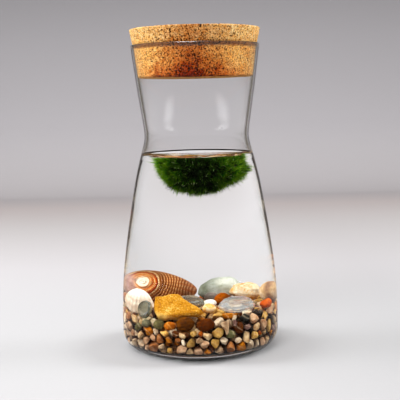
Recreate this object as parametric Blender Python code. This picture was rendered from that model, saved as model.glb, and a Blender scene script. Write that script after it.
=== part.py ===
"""A marimo moss ball afloat in a corked glass jar of water, over gravel, pebbles and shells.

Metres, +Z up. The origin is the middle of the jar's foot, on the surface that it stands on.
-Y is the front: the yellow stone lies there, against the glass.
"""
import math
from collections import namedtuple

import bmesh
import bpy
from mathutils import Euler, Vector, noise
from mathutils.bvhtree import BVHTree

MM = 0.001

# Driving dimensions of the jar
JAR_HEIGHT = 202 * MM
JAR_RIM_RADIUS = 42.7 * MM
JAR_WAIST_RADIUS = 34.8 * MM
JAR_BODY_RADIUS = 52.4 * MM
GLASS_WALL = 1.8 * MM
GLASS_BASE = 6.2 * MM
FOOT_CORNER = 13 * MM
FIT_GAP = 0.3 * MM
LATHE_SEGMENTS = 40

# The jar's outer outline between its rim and its foot corner, as (height, radius)
JAR_OUTLINE = [
    (JAR_HEIGHT, JAR_RIM_RADIUS), (176 * MM, 39.3 * MM), (155 * MM, 36.2 * MM),
    (144.5 * MM, JAR_WAIST_RADIUS), (139 * MM, 35.1 * MM), (128.5 * MM, 37.8 * MM),
    (112.5 * MM, 41.6 * MM), (91 * MM, 45.4 * MM), (69 * MM, 48.9 * MM),
    (47 * MM, 51.4 * MM), (25 * MM, JAR_BODY_RADIUS), (FOOT_CORNER, JAR_BODY_RADIUS)]

# Driving dimensions of what the jar holds
CORK_TOP = 212.2 * MM
CORK_BOTTOM = 180.5 * MM
CORK_TOP_RADIUS = 42.9 * MM
CORK_EDGE = 0.8 * MM
WATER_LEVEL = 128.2 * MM
MENISCUS_RISE = 3 * MM
MENISCUS_REACH = 4 * MM
GRAVEL_TOP = 28.2 * MM
GRAVEL_LUMP = 0.7 * MM
GRAVEL_LUMP_SIZE = 9 * MM
DIP_DEPTH = 2.6 * MM
DIP_RADII = (24 * MM, 32 * MM)
DIP_ANGLES = (-184, -62)
DIP_BLEND = 22
SHELF_DROP = 5.6 * MM
SHELF_RADII = (38 * MM, 40.5 * MM)
SHELF_ANGLES = (-153, -72)
SHELF_BLEND = 9
GRAVEL_COLUMNS = 48
GRAVEL_CORNER_ROWS = 4
GRAVEL_SIDE_ROWS = 2
GRAVEL_TOP_SHARES = (1, 0.92, 0.83, 0.73, 0.63, 0.5, 0.36, 0.2)
GRAIN_DENT = 3.2 * MM
GRAIN_SHIFT = 0.25
GRAIN_CLEARANCE = 5 * MM
GRAIN_RADII = (14 * MM, 24 * MM)

MOSS_CENTRE = Vector((1.2, 0, 119.5)) * MM
MOSS_HALF_WIDTH = 24.5 * MM
MOSS_HALF_DEPTH = 22 * MM
MOSS_DROP = 17.6 * MM
MOSS_LUMP = 1.5 * MM
MOSS_LUMP_SIZE = 11 * MM
# Tufts that stand out from the moss, as direction, extra reach and spread in radians
MOSS_TUFTS = [
    (Vector((0.93, 0.34, -0.16)), 4.2 * MM, 0.24),
    (Vector((0.8, 0.26, -0.55)), 3.4 * MM, 0.2),
    (Vector((-1.0, -0.15, 0.2)), 1.6 * MM, 0.3)]

SHELL_HALF_LENGTH = 17.5 * MM
SHELL_HALF_WIDTH = 10.8 * MM
SHELL_DOME = 10.5 * MM
SHELL_MOUTH_DEPTH = 4.5 * MM
SHELL_LIP = 1.4 * MM
# The apex lies left of the middle; sizes as shares of the half length
SHELL_APEX = (-0.42, 0.02)
SHELL_WHORL_GROWTH = 2.6
SHELL_WHORL_START = 0.045
SHELL_SUTURE_DEPTH = 1.3 * MM
SHELL_RIB_HEIGHT = 0.25 * MM
SHELL_RIB_SPACING = 2.3 * MM
SHELL_PLACE = Vector((-19.3, 12.5, 0)) * MM
SHELL_TURN = (62, 4, -16)

VALVE_WIDTH = 23 * MM
VALVE_HEIGHT = 17.6 * MM
VALVE_DOME = 6.5 * MM
VALVE_THICKNESS = 1.3 * MM
VALVE_BLUNT = 0.55
VALVE_RIBS = 9
VALVE_RIB_HEIGHT = 0.35 * MM
VALVE_PLACE = Vector((-34.6, -9.5, 0)) * MM
VALVE_TURN = (50, 6, -30)

Stone = namedtuple("Stone", "name kind place size turn seed material")

# Stones from the bottom up: place is (x, y), size is (length, width, height) before the turn
# in degrees, all lengths in millimetres
STONES = [
    Stone("olive_pebble", "pebble", (-25.6, -37.9), (8.8, 7.0, 6.8), (0, 0, 30), 11, "olive_stone"),
    Stone("dark_green_pebble", "pebble", (-33.2, -31.4), (8.5, 7.0, 5.6), (0, 6, 45), 12, "dark_green_stone"),
    Stone("rust_pebble", "pebble", (-18.8, -42.2), (8.4, 5.8, 6.0), (0, 0, 15), 13, "rust_stone"),
    Stone("brown_pebble_left", "pebble", (-9.3, -44.1), (12.4, 8.0, 9.4), (0, -12, 5), 14, "brown_stone"),
    Stone("brown_pebble_right", "pebble", (3.2, -44.8), (12.2, 7.6, 8.4), (0, -6, -6), 15, "brown_stone"),
    Stone("green_pebble", "pebble", (8.5, 24.0), (20.0, 12.5, 13.6), (-24, -20, 4), 21, "grey_green_stone"),
    Stone("small_grey_pebble", "pebble", (5.4, 11.5), (7.6, 6.6, 7.0), (0, 0, 20), 22, "grey_stone"),
    Stone("red_brown_stone", "rock", (11.4, 2.4), (10.5, 8.2, 7.6), (0, 24, 10), 23, "red_brown_stone"),
    Stone("cream_rock", "rock", (21.4, 13.6), (17.0, 11.5, 12.6), (0, 0, -14), 24, "cream_stone"),
    Stone("striped_pebble", "pebble", (36.9, 3.0), (14.0, 13.0, 14.2), (0, 0, 12), 25, "striped_stone"),
    Stone("orange_stone", "rock", (40.1, -17.7), (13.2, 8.4, 6.0), (0, -6, -12), 26, "orange_stone"),
    Stone("white_pebble", "pebble", (5.0, -4.5), (7.6, 6.8, 5.4), (0, 0, -10), 27, "white_stone"),
    Stone("peach_pebble", "pebble", (5.2, -24.5), (8.2, 7.4, 6.0), (0, 0, 20), 28, "peach_stone"),
    Stone("glass_nugget_right", "nugget", (21.5, -26.5), (23.5, 18.0, 12.6), (0, 0, -6), 31, "clear_nugget"),
    Stone("glass_nugget_middle", "nugget", (-6.0, -9.0), (17.0, 14.0, 10.6), (0, 0, 8), 32, "green_nugget"),
    Stone("glass_nugget_left", "nugget", (-33.8, -27.6), (12.4, 12.6, 8.4), (60, 0, -50), 33, "green_nugget"),
    Stone("yellow_stone", "slab", (-13.5, -32.4), (30.0, 17.0, 8.0), (50, -2, -2), 34, "yellow_stone")]

PEBBLE_ROUGHNESS = 0.07
ROCK_ROUGHNESS = 0.1
BIG_STONE = 12.5 * MM

# The yellow stone's face, in shares of its half length and half width
SLAB_FACE = [(-0.8, -0.87), (-1.0, -0.16), (-0.84, 0.79), (-0.25, 0.98), (0.1, 0.94), (1.0, -0.4),
             (0.84, -0.7), (-0.02, -0.87), (-0.53, -1.0)]

# Colour, roughness and how much light passes through each finish
FINISHES = {
    "clear_glass": ((0.95, 0.98, 0.97), 0.02, 1.0),
    "cork": ((0.62, 0.36, 0.15), 0.9, 0.0),
    "water": ((0.97, 0.99, 0.98), 0.0, 1.0),
    "moss": ((0.03, 0.12, 0.01), 0.95, 0.0),
    "gravel": ((0.42, 0.31, 0.2), 0.7, 0.0),
    "snail_shell": ((0.4, 0.2, 0.1), 0.45, 0.0),
    "white_shell": ((0.8, 0.73, 0.63), 0.5, 0.0),
    "yellow_stone": ((0.72, 0.4, 0.06), 0.8, 0.0),
    "clear_nugget": ((0.85, 0.93, 0.9), 0.03, 1.0),
    "green_nugget": ((0.5, 0.58, 0.46), 0.05, 0.8),
    "grey_green_stone": ((0.38, 0.4, 0.29), 0.45, 0.0),
    "grey_stone": ((0.3, 0.29, 0.27), 0.5, 0.0),
    "red_brown_stone": ((0.25, 0.06, 0.02), 0.5, 0.0),
    "cream_stone": ((0.85, 0.68, 0.36), 0.75, 0.0),
    "striped_stone": ((0.55, 0.42, 0.33), 0.5, 0.0),
    "orange_stone": ((0.6, 0.16, 0.04), 0.55, 0.0),
    "white_stone": ((0.85, 0.83, 0.78), 0.5, 0.0),
    "peach_stone": ((0.8, 0.5, 0.28), 0.55, 0.0),
    "olive_stone": ((0.12, 0.11, 0.06), 0.5, 0.0),
    "dark_green_stone": ((0.1, 0.11, 0.08), 0.5, 0.0),
    "rust_stone": ((0.45, 0.18, 0.05), 0.5, 0.0),
    "brown_stone": ((0.22, 0.09, 0.03), 0.5, 0.0)}


def clear_scene():
    """Empties the file's scene."""
    for obj in list(bpy.data.objects):
        bpy.data.objects.remove(obj, do_unlink=True)


def finish(name):
    """The Principled material of one finish."""
    colour, roughness, clear = FINISHES[name]
    material = bpy.data.materials.get(name) or bpy.data.materials.new(name)
    material.use_nodes = True
    shader = material.node_tree.nodes["Principled BSDF"]
    shader.inputs["Base Color"].default_value = (*colour, 1)
    shader.inputs["Roughness"].default_value = roughness
    shader.inputs["Metallic"].default_value = 0
    shader.inputs["Transmission Weight"].default_value = clear
    return material


def place_mesh(name, bm, material):
    """Makes a named object of a closed bmesh, shaded smooth."""
    bmesh.ops.recalc_face_normals(bm, faces=bm.faces)
    mesh = bpy.data.meshes.new(name)
    bm.to_mesh(mesh)
    bm.free()
    mesh.shade_smooth()
    mesh.set_sharp_from_angle(angle=math.radians(50))
    mesh.materials.append(finish(material))
    obj = bpy.data.objects.new(name, mesh)
    bpy.context.scene.collection.objects.link(obj)
    return obj


def ease(value, low, high):
    """0 below low, 1 above high and smooth between them."""
    share = min(1.0, max(0.0, (value - low) / (high - low)))
    return share * share * (3 - 2 * share)


def jar_radius(height):
    """Outer radius of the jar at a height between its foot corner and its rim."""
    points = JAR_OUTLINE
    for index in range(len(points) - 1):
        (z0, r0), (z1, r1) = points[index], points[index + 1]
        if z1 <= height <= z0:
            above = points[max(index - 1, 0)]
            below = points[min(index + 2, len(points) - 1)]
            slope0 = (above[1] - r1) / (above[0] - z1)
            slope1 = (r0 - below[1]) / (z0 - below[0])
            run = z1 - z0
            t = (height - z0) / run
            return ((2 * t**3 - 3 * t**2 + 1) * r0 + (t**3 - 2 * t**2 + t) * run * slope0
                    + (3 * t**2 - 2 * t**3) * r1 + (t**3 - t**2) * run * slope1)
    return points[-1][1]


def corner_arc(inset, floor, steps):
    """Quarter circle of the foot corner, from the floor outwards and up, set in by a wall."""
    radius = FOOT_CORNER - inset
    rise = FOOT_CORNER - floor
    for step in range(steps + 1):
        angle = math.pi / 2 * step / steps
        yield (JAR_BODY_RADIUS - FOOT_CORNER + radius * math.sin(angle), FOOT_CORNER - rise * math.cos(angle))


def lathe(outline):
    """Turns an outline of (radius, height) points, from axis to axis, about the Z axis."""
    bm = bmesh.new()
    verts = [bm.verts.new((radius, 0, height)) for radius, height in outline]
    edges = [bm.edges.new(pair) for pair in zip(verts, verts[1:])]
    bmesh.ops.spin(bm, geom=verts + edges, axis=(0, 0, 1), cent=(0, 0, 0), angle=2 * math.pi,
                   steps=LATHE_SEGMENTS, use_merge=True)
    bmesh.ops.remove_doubles(bm, verts=bm.verts, dist=0.001 * MM)
    return bm


def make_jar():
    """The glass: a thick foot, a cone-like body, a waist and a flared neck with a round lip."""
    wall_heights = [24, 47, 72, 96, 116, 127, 133, 139, 145, 153, 172]
    outer = [(0, 0)] + list(corner_arc(0, 0, 5)) + [(jar_radius(z * MM), z * MM) for z in wall_heights]
    lip = GLASS_WALL / 2
    lip_centre = (jar_radius(JAR_HEIGHT - lip) - lip, JAR_HEIGHT - lip)
    rim = [(lip_centre[0] + lip * math.cos(math.radians(a)), lip_centre[1] + lip * math.sin(math.radians(a)))
           for a in (0, 45, 90, 135, 180)]
    inner = [(jar_radius(z * MM) - GLASS_WALL, z * MM) for z in reversed(wall_heights)]
    floor = list(reversed(list(corner_arc(GLASS_WALL, GLASS_BASE, 4)))) + [(0, GLASS_BASE)]
    return place_mesh("glass_jar", lathe(outer + rim + inner + floor), "clear_glass")


def make_cork():
    """The stopper: it follows the glass inside the neck and swells above the rim."""
    inside = [CORK_BOTTOM + CORK_EDGE, 190 * MM, 201 * MM]
    side = [(jar_radius(z) - GLASS_WALL - FIT_GAP, z) for z in inside]
    foot = (side[0][0] - CORK_EDGE, CORK_BOTTOM)
    swell = (JAR_RIM_RADIUS - GLASS_WALL + 0.2 * MM, JAR_HEIGHT + 0.9 * MM)
    top = [(CORK_TOP_RADIUS, CORK_TOP - CORK_EDGE), (CORK_TOP_RADIUS - CORK_EDGE, CORK_TOP)]
    outline = [(0, CORK_BOTTOM), foot] + side + [swell] + top + [(0, CORK_TOP)]
    return place_mesh("cork_stopper", lathe(outline), "cork")


def hollow(x, y, angles, blend, radii):
    """1 inside a hollow of the gravel between two angles and beyond two radii, 0 outside it."""
    angle = math.degrees(math.atan2(y, x))
    if angle > 90:
        angle -= 360
    start, end = angles
    window = ease(angle, start, start + blend) * (1 - ease(angle, end - blend, end))
    return window * ease(math.hypot(x, y), *radii)


def gravel_height(x, y):
    """Top of the gravel: lumpy, lower at the front left, with a shelf for pebbles on the glass."""
    lumps = noise.noise(Vector((x, y, 0)) / GRAVEL_LUMP_SIZE) * GRAVEL_LUMP
    dip = DIP_DEPTH * hollow(x, y, DIP_ANGLES, DIP_BLEND, DIP_RADII)
    shelf = SHELF_DROP * hollow(x, y, SHELF_ANGLES, SHELF_BLEND, SHELF_RADII)
    return GRAVEL_TOP + lumps - dip - shelf


def gravel_outline(angle):
    """The bed's smooth outline at an angle about the axis, from its floor inwards, as (radius, height)."""
    inset = GLASS_WALL + FIT_GAP
    edge = jar_radius(GRAVEL_TOP) - inset
    top = [(edge * share, gravel_height(edge * share * math.cos(angle), edge * share * math.sin(angle)))
           for share in GRAVEL_TOP_SHARES]
    rise = top[0][1] - FOOT_CORNER
    heights = [FOOT_CORNER + rise * step / (GRAVEL_SIDE_ROWS + 1) for step in range(1, GRAVEL_SIDE_ROWS + 1)]
    side = [(jar_radius(height) - inset, height) for height in heights]
    return list(corner_arc(inset, GLASS_BASE + FIT_GAP, GRAVEL_CORNER_ROWS)) + side + top


def grain_dent(row, column):
    """How far the bed draws back between its larger grains, which stand out at every other corner."""
    if (row + column) % 2 == 0:
        return 0.0
    return GRAIN_DENT * (1 + 0.4 * noise.noise(Vector((row * 1.7, column * 1.3, 0.5))))


def make_gravel():
    """The gravel bed, which fills the foot of the jar, dented between its larger grains at the glass."""
    edge_row = GRAVEL_CORNER_ROWS + 1 + GRAVEL_SIDE_ROWS
    step = 2 * math.pi / GRAVEL_COLUMNS
    columns = []
    for column in range(GRAVEL_COLUMNS):
        points = []
        for row, (radius, height) in enumerate(gravel_outline(column * step)):
            if 1 < row <= edge_row:
                radius -= grain_dent(row, column)
            angle = step * (column + GRAIN_SHIFT * noise.noise(Vector((row * 1.3, column * 2.1, 4.5))))
            points.append((radius * math.cos(angle), radius * math.sin(angle), height))
        columns.append(points)
    bm = bmesh.new()
    rows = [[bm.verts.new(points[row]) for points in columns] for row in range(len(columns[0]))]
    floor = bm.verts.new((0, 0, GLASS_BASE + FIT_GAP))
    middle = bm.verts.new((0, 0, gravel_height(0, 0)))
    for column in range(GRAVEL_COLUMNS):
        following = (column + 1) % GRAVEL_COLUMNS
        bm.faces.new((floor, rows[0][following], rows[0][column]))
        bm.faces.new((middle, rows[-1][column], rows[-1][following]))
        for below, above in zip(rows, rows[1:]):
            bm.faces.new((below[column], below[following], above[following], above[column]))
    return place_mesh("gravel_bed", bm, "gravel")


def sink_between_grains(gravel, stones):
    """Lowers the top of the bed between its larger grains, wherever no stone lies near."""
    edge_row = GRAVEL_CORNER_ROWS + 1 + GRAVEL_SIDE_ROWS
    last_row = edge_row + len(GRAVEL_TOP_SHARES) - 1
    for vert in gravel.data.vertices:
        row, column = divmod(vert.index, GRAVEL_COLUMNS)
        x, y, _ = vert.co
        if edge_row < row <= last_row and reach_of(stones, x, y, GRAIN_CLEARANCE, False) is None:
            vert.co.z -= grain_dent(row, column) * ease(math.hypot(x, y), *GRAIN_RADII)


def round_stone(bm, stone, roughness):
    """Wears a unit ball to an uneven pebble of the stone's size."""
    half = Vector(stone.size) * MM / 2
    offset = Vector((stone.seed * 3.1, stone.seed * 1.7, 0))
    for vert in bm.verts:
        swell = 1 + roughness * noise.noise(vert.co * 1.3 + offset)
        vert.co = Vector((vert.co.x * half.x, vert.co.y * half.y, vert.co.z * half.z)) * swell


def chip_faces(bm, stone):
    """Presses flat broken faces into a stone, square to a few directions of its seed."""
    half = Vector(stone.size) * MM / 2
    for index in range(9):
        spin = stone.seed * 1.3 + index * 2.39996
        tilt = math.asin(max(-1.0, min(1.0, 0.85 - index * 0.21)))
        normal = Vector((math.cos(spin) * math.cos(tilt), math.sin(spin) * math.cos(tilt), math.sin(tilt)))
        reach = Vector((normal.x * half.x, normal.y * half.y, normal.z * half.z)).length
        limit = reach * 0.8
        for vert in bm.verts:
            over = vert.co.dot(normal) - limit
            if over > 0:
                vert.co -= normal * over * 0.9


def flatten_nugget(bm, stone):
    """Gives a glass nugget its flat underside and low dome."""
    half_height = stone.size[2] * MM / 2
    for vert in bm.verts:
        if vert.co.z < 0:
            vert.co.z *= 0.62 + 0.1 * math.cos(vert.co.z / half_height)
        vert.co.z -= 0.1 * half_height


def slab_stone(stone):
    """The flat yellow stone: its face's outline, with worn edges and an uneven face and back."""
    half = Vector(stone.size) * MM / 2
    outline = []
    for (x0, y0), (x1, y1) in zip(SLAB_FACE, SLAB_FACE[1:] + SLAB_FACE[:1]):
        outline += [(x0, y0), ((x0 + x1) / 2, (y0 + y1) / 2)]
    bm = bmesh.new()
    rings = []
    for height, shrink in ((-1.0, 0.4), (-0.95, 0.8), (-0.5, 0.98), (0.5, 1.0), (0.9, 0.88), (1.0, 0.45)):
        ring = []
        for x, y in outline:
            lump = noise.noise(Vector((x * shrink * 2.1, y * shrink * 2.1, height + stone.seed))) * 0.12
            ring.append(bm.verts.new((half.x * x * (shrink + lump), half.y * y * (shrink + lump),
                                      half.z * (height + lump))))
        rings.append(ring)
    back = bm.verts.new((0, 0, -half.z))
    face = bm.verts.new((0, 0, half.z))
    for index in range(len(outline)):
        following = (index + 1) % len(outline)
        bm.faces.new((back, rings[0][following], rings[0][index]))
        bm.faces.new((face, rings[-1][index], rings[-1][following]))
        for low, high in zip(rings, rings[1:]):
            bm.faces.new((low[index], low[following], high[following], high[index]))
    return bm


def make_stone(stone, supports):
    """One stone, set down on what lies under it."""
    if stone.kind == "slab":
        bm = slab_stone(stone)
    else:
        big = max(stone.size) * MM > BIG_STONE
        bm = bmesh.new()
        bmesh.ops.create_uvsphere(bm, u_segments=14 if big else 10, v_segments=8 if big else 6, radius=1)
        round_stone(bm, stone, ROCK_ROUGHNESS if stone.kind == "rock" else PEBBLE_ROUGHNESS)
        if stone.kind == "rock":
            chip_faces(bm, stone)
        if stone.kind == "nugget":
            flatten_nugget(bm, stone)
    turn = Euler([math.radians(a) for a in stone.turn]).to_matrix().to_4x4()
    bmesh.ops.transform(bm, matrix=turn, verts=bm.verts)
    x, y = stone.place
    bmesh.ops.translate(bm, verts=bm.verts, vec=(x * MM, y * MM, JAR_HEIGHT / 2))
    settle(bm, supports)
    obj = place_mesh(stone.name, bm, stone.material)
    supports.append(tree_of(obj))
    return obj


def tree_of(obj):
    """Search tree of an object's faces, with its corner points."""
    mesh = obj.data
    points = [vert.co.copy() for vert in mesh.vertices]
    return BVHTree.FromPolygons(points, [tuple(face.vertices) for face in mesh.polygons]), points


def settle(bm, supports):
    """Lowers a piece until it lies on its supports, with the fitting gap between them."""
    down, up = Vector((0, 0, -1)), Vector((0, 0, 1))
    own = BVHTree.FromBMesh(bm)
    fall = JAR_HEIGHT
    for tree, points in supports:
        for vert in bm.verts:
            distance = tree.ray_cast(vert.co, down)[3]
            if distance is not None:
                fall = min(fall, distance)
        for point in points:
            distance = own.ray_cast(point, up)[3]
            if distance is not None:
                fall = min(fall, distance)
    bmesh.ops.translate(bm, verts=bm.verts, vec=(0, 0, FIT_GAP * 1.3 - fall))


def shell_point(rim_share, angle, front):
    """A point of the ear-like shell: its face looks along +Z, its length lies along X."""
    x = rim_share * math.cos(angle) * (1 + 0.06 * math.cos(angle))
    y = rim_share * math.sin(angle) * (1 - 0.24 * math.cos(angle))
    if not front:
        dish = SHELL_MOUTH_DEPTH * (1 - rim_share**4)
        return Vector((x * SHELL_HALF_LENGTH, y * SHELL_HALF_WIDTH, dish - SHELL_LIP))
    across, along = x - SHELL_APEX[0], (y - SHELL_APEX[1]) * SHELL_HALF_WIDTH / SHELL_HALF_LENGTH
    distance = math.hypot(across, along)
    whorl = math.log(max(distance, SHELL_WHORL_START) / SHELL_WHORL_START) / math.log(SHELL_WHORL_GROWTH)
    share = (whorl - math.atan2(along, across) / (2 * math.pi)) % 1
    near_apex = 1 - ease(distance, 0.42, 0.62)
    suture = SHELL_SUTURE_DEPTH * near_apex * (1 - math.sqrt(math.sin(math.pi * share)))
    ribs = (1 - near_apex) * SHELL_RIB_HEIGHT * math.cos(
        2 * math.pi * distance * SHELL_HALF_LENGTH / SHELL_RIB_SPACING)
    dome = SHELL_DOME * max(0.0, 1 - rim_share**2.4) ** 0.6
    return Vector((x * SHELL_HALF_LENGTH, y * SHELL_HALF_WIDTH, dome + (ribs - suture) * (1 - rim_share**6)))


def make_snail_shell(supports):
    """The big sea-snail shell: a domed face with its coiled apex at one end, and a dished mouth."""
    segments = 26
    front_rings = (0.14, 0.3, 0.45, 0.6, 0.74, 0.86, 0.95, 1)
    back_rings = (0.88, 0.7, 0.4)
    bm = bmesh.new()
    loops = [[bm.verts.new(shell_point(ring, 2 * math.pi * step / segments, front)) for step in range(segments)]
             for rings, front in ((front_rings, True), (back_rings, False)) for ring in rings]
    face_middle = bm.verts.new(shell_point(0, 0, True))
    mouth_middle = bm.verts.new(shell_point(0, 0, False))
    for step in range(segments):
        following = (step + 1) % segments
        bm.faces.new((face_middle, loops[0][step], loops[0][following]))
        bm.faces.new((mouth_middle, loops[-1][following], loops[-1][step]))
        for inner, outer in zip(loops, loops[1:]):
            bm.faces.new((inner[step], outer[step], outer[following], inner[following]))
    turn = Euler([math.radians(a) for a in SHELL_TURN]).to_matrix().to_4x4()
    bmesh.ops.transform(bm, matrix=turn, verts=bm.verts)
    bmesh.ops.translate(bm, verts=bm.verts, vec=SHELL_PLACE + Vector((0, 0, JAR_HEIGHT / 2)))
    settle(bm, supports)
    obj = place_mesh("snail_shell", bm, "snail_shell")
    supports.append(tree_of(obj))
    return obj


def valve_point(across, along, side):
    """A point of the ribbed valve: across -1 to 1, along 0 at the hinge to 1 at the rim."""
    spread = math.radians(78) * across
    reach = VALVE_HEIGHT * along * (1 - 0.28 * across * across)
    x = VALVE_WIDTH / 2 * math.sin(spread) * along**VALVE_BLUNT / math.sin(math.radians(78))
    y = reach * math.cos(spread * 0.55)
    dome = VALVE_DOME * math.sin(math.pi * min(1.0, 0.12 + 0.88 * along)) ** 0.8 * (1 - 0.75 * across * across)
    rib = VALVE_RIB_HEIGHT * math.cos(math.pi * VALVE_RIBS * across) * along
    return Vector((-x, VALVE_HEIGHT / 2 - y, dome + (rib + VALVE_THICKNESS if side else 0)))


def make_valve(supports):
    """The white ribbed shell: half of a cockle, leaning on the glass at the left."""
    columns, rows = 14, 5
    bm = bmesh.new()
    layers = []
    for side in (0, 1):
        layers.append([[bm.verts.new(valve_point(2 * column / columns - 1, 0.1 + 0.9 * row / rows, side))
                        for column in range(columns + 1)] for row in range(rows + 1)])
    inside, outside = layers
    for row in range(rows):
        for column in range(columns):
            for layer in layers:
                bm.faces.new((layer[row][column], layer[row][column + 1],
                              layer[row + 1][column + 1], layer[row + 1][column]))
    for row in range(rows):
        for column in (0, columns):
            bm.faces.new((inside[row][column], inside[row + 1][column], outside[row + 1][column],
                          outside[row][column]))
    for column in range(columns):
        for row in (0, rows):
            bm.faces.new((inside[row][column], inside[row][column + 1], outside[row][column + 1],
                          outside[row][column]))
    turn = Euler([math.radians(a) for a in VALVE_TURN]).to_matrix().to_4x4()
    bmesh.ops.transform(bm, matrix=turn, verts=bm.verts)
    bmesh.ops.translate(bm, verts=bm.verts, vec=VALVE_PLACE + Vector((0, 0, JAR_HEIGHT / 2)))
    settle(bm, supports)
    obj = place_mesh("white_shell", bm, "white_shell")
    supports.append(tree_of(obj))
    return obj


def make_moss():
    """The moss: a bowl of filaments that floats with its flat top at the water's surface."""
    bm = bmesh.new()
    bmesh.ops.create_uvsphere(bm, u_segments=26, v_segments=15, radius=1)
    half = Vector((MOSS_HALF_WIDTH, MOSS_HALF_DEPTH, MOSS_DROP))
    for vert in bm.verts:
        direction = vert.co.normalized()
        point = Vector((direction.x * half.x, direction.y * half.y, direction.z * half.z))
        point += direction * noise.noise(point / MOSS_LUMP_SIZE) * MOSS_LUMP
        for tuft, reach, spread in MOSS_TUFTS:
            angle = direction.angle(tuft.normalized())
            point += tuft.normalized() * reach * math.exp(-(angle / spread) ** 2)
        point += MOSS_CENTRE
        flat_top = WATER_LEVEL + 0.4 * MM * direction.z
        point.z = min(point.z, flat_top)
        vert.co = point
    return place_mesh("moss_ball", bm, "moss")


def reach_of(trees, x, y, spread, upwards):
    """Highest top or lowest underside of some pieces within a spread of a point, or None."""
    start = Vector((x, y, 0 if upwards else JAR_HEIGHT))
    heading = Vector((0, 0, 1 if upwards else -1))
    heights = []
    for tree, points in trees:
        hit = tree.ray_cast(start, heading)[0]
        if hit is not None:
            heights.append(hit.z)
        heights += [point.z for point in points if math.hypot(point.x - x, point.y - y) < spread]
    if not heights:
        return None
    return min(heights) if upwards else max(heights)


def make_water(supports, moss):
    """The water: it stands on the gravel, pebbles and shells, with an open pocket for the moss."""
    inset = GLASS_WALL + FIT_GAP
    contact = WATER_LEVEL + MENISCUS_RISE
    bed_edge = 47 * MM
    side_heights = [bed_edge, 62 * MM, 80 * MM, 98 * MM, 112 * MM, 122 * MM]
    side = [(jar_radius(z) - inset, z) for z in side_heights] + [(jar_radius(contact) - inset, contact)]
    wall = jar_radius(contact) - inset
    meniscus = [(wall - MENISCUS_REACH * share, WATER_LEVEL + MENISCUS_RISE * rise)
                for share, rise in ((0.25, 0.42), (0.6, 0.13), (1, 0))]
    edge = jar_radius(bed_edge) - inset
    underside = [(edge * share, bed_edge) for share in (0, 0.15, 0.3, 0.45, 0.6, 0.74, 0.88)]
    top = [(radius * MM, WATER_LEVEL) for radius in (29, 26, 22, 17, 11, 5.5, 0)]
    bm = lathe(underside + side + meniscus + top)
    moss_tree = [tree_of(moss)]
    for vert in bm.verts:
        x, y, z = vert.co
        if abs(z - bed_edge) < 0.01 * MM:
            vert.co.z = reach_of(supports, x, y, 10 * MM, False) + FIT_GAP
            radius = math.hypot(x, y)
            if radius > edge - 0.1 * MM:
                vert.co.xy *= (jar_radius(vert.co.z) - inset) / radius
        elif abs(z - WATER_LEVEL) < 0.01 * MM:
            under = reach_of(moss_tree, x, y, 5.5 * MM, True)
            if under is not None:
                vert.co.z = min(z, under - FIT_GAP)
    bmesh.ops.triangulate(bm, faces=bm.faces)
    return place_mesh("water", bm, "water")


def build():
    """Makes every piece, from the gravel up."""
    clear_scene()
    make_jar()
    gravel = make_gravel()
    supports = [tree_of(gravel)]
    make_valve(supports)
    for stone in STONES:
        make_stone(stone, supports)
    make_snail_shell(supports)
    sink_between_grains(gravel, supports[1:])
    moss = make_moss()
    make_water(supports, moss)
    make_cork()


build()
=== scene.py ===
"""A marimo moss ball afloat in a corked glass jar: finishes, grains, filaments, stage and camera."""
import math

import bmesh
import bpy
import numpy as np
from mathutils import Euler, Matrix, Vector, noise
from mathutils.bvhtree import BVHTree


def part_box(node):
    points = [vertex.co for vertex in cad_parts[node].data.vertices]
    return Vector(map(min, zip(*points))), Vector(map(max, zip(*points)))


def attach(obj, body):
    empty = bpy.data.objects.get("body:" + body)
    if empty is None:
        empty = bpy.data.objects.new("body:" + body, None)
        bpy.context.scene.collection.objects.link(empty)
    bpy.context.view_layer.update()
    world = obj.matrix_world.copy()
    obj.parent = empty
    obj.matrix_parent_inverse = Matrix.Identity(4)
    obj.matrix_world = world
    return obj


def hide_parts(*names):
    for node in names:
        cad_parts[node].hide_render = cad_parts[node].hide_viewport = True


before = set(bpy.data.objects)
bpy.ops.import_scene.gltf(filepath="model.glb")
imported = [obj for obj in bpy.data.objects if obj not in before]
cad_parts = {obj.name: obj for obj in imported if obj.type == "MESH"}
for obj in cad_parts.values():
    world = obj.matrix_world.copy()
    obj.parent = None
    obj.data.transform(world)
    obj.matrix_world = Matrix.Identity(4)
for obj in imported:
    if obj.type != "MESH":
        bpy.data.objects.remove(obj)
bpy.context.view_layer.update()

MM = 0.001
BODY = "root"

# The photograph's camera: distances in metres, angles in degrees
IMAGE_SIDE = 400
FOCAL_PIXELS = 940
SENSOR_MM = 36
CAMERA_PLACE = Vector((0.00135, -0.627, 0.1659))
CAMERA_PITCH = 6.1
CAMERA_ROLL = 1.2

# The jar as the solids have it: heights and outer radii in mm, from the rim down to the foot's corner
JAR_OUTLINE = [(height * MM, radius * MM) for height, radius in (
    (202, 42.7), (176, 39.3), (155, 36.2), (144.5, 34.8), (139, 35.1), (128.5, 37.8), (112.5, 41.6),
    (91, 45.4), (69, 48.9), (47, 51.4), (25, 52.4), (13, 52.4))]
JAR_HEIGHT, JAR_TOP_RADIUS = JAR_OUTLINE[0]
FOOT_CORNER, JAR_BODY_RADIUS = JAR_OUTLINE[-1]
GLASS_WALL = 1.8 * MM
GLASS_BASE = 6.2 * MM
INNER_CORNER = 4.2 * MM
FIT_GAP = 0.3 * MM
CORK_TOP = 212.2 * MM
CORK_BOTTOM = 180.5 * MM
CORK_TOP_RADIUS = 42.9 * MM
CORK_EDGE = 0.8 * MM
WATER_LEVEL = 128.2 * MM
MENISCUS_RISE = 3 * MM
# What lies under water hardly shines: its refraction is taken against the water's
WET_IOR = 1.12


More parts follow.
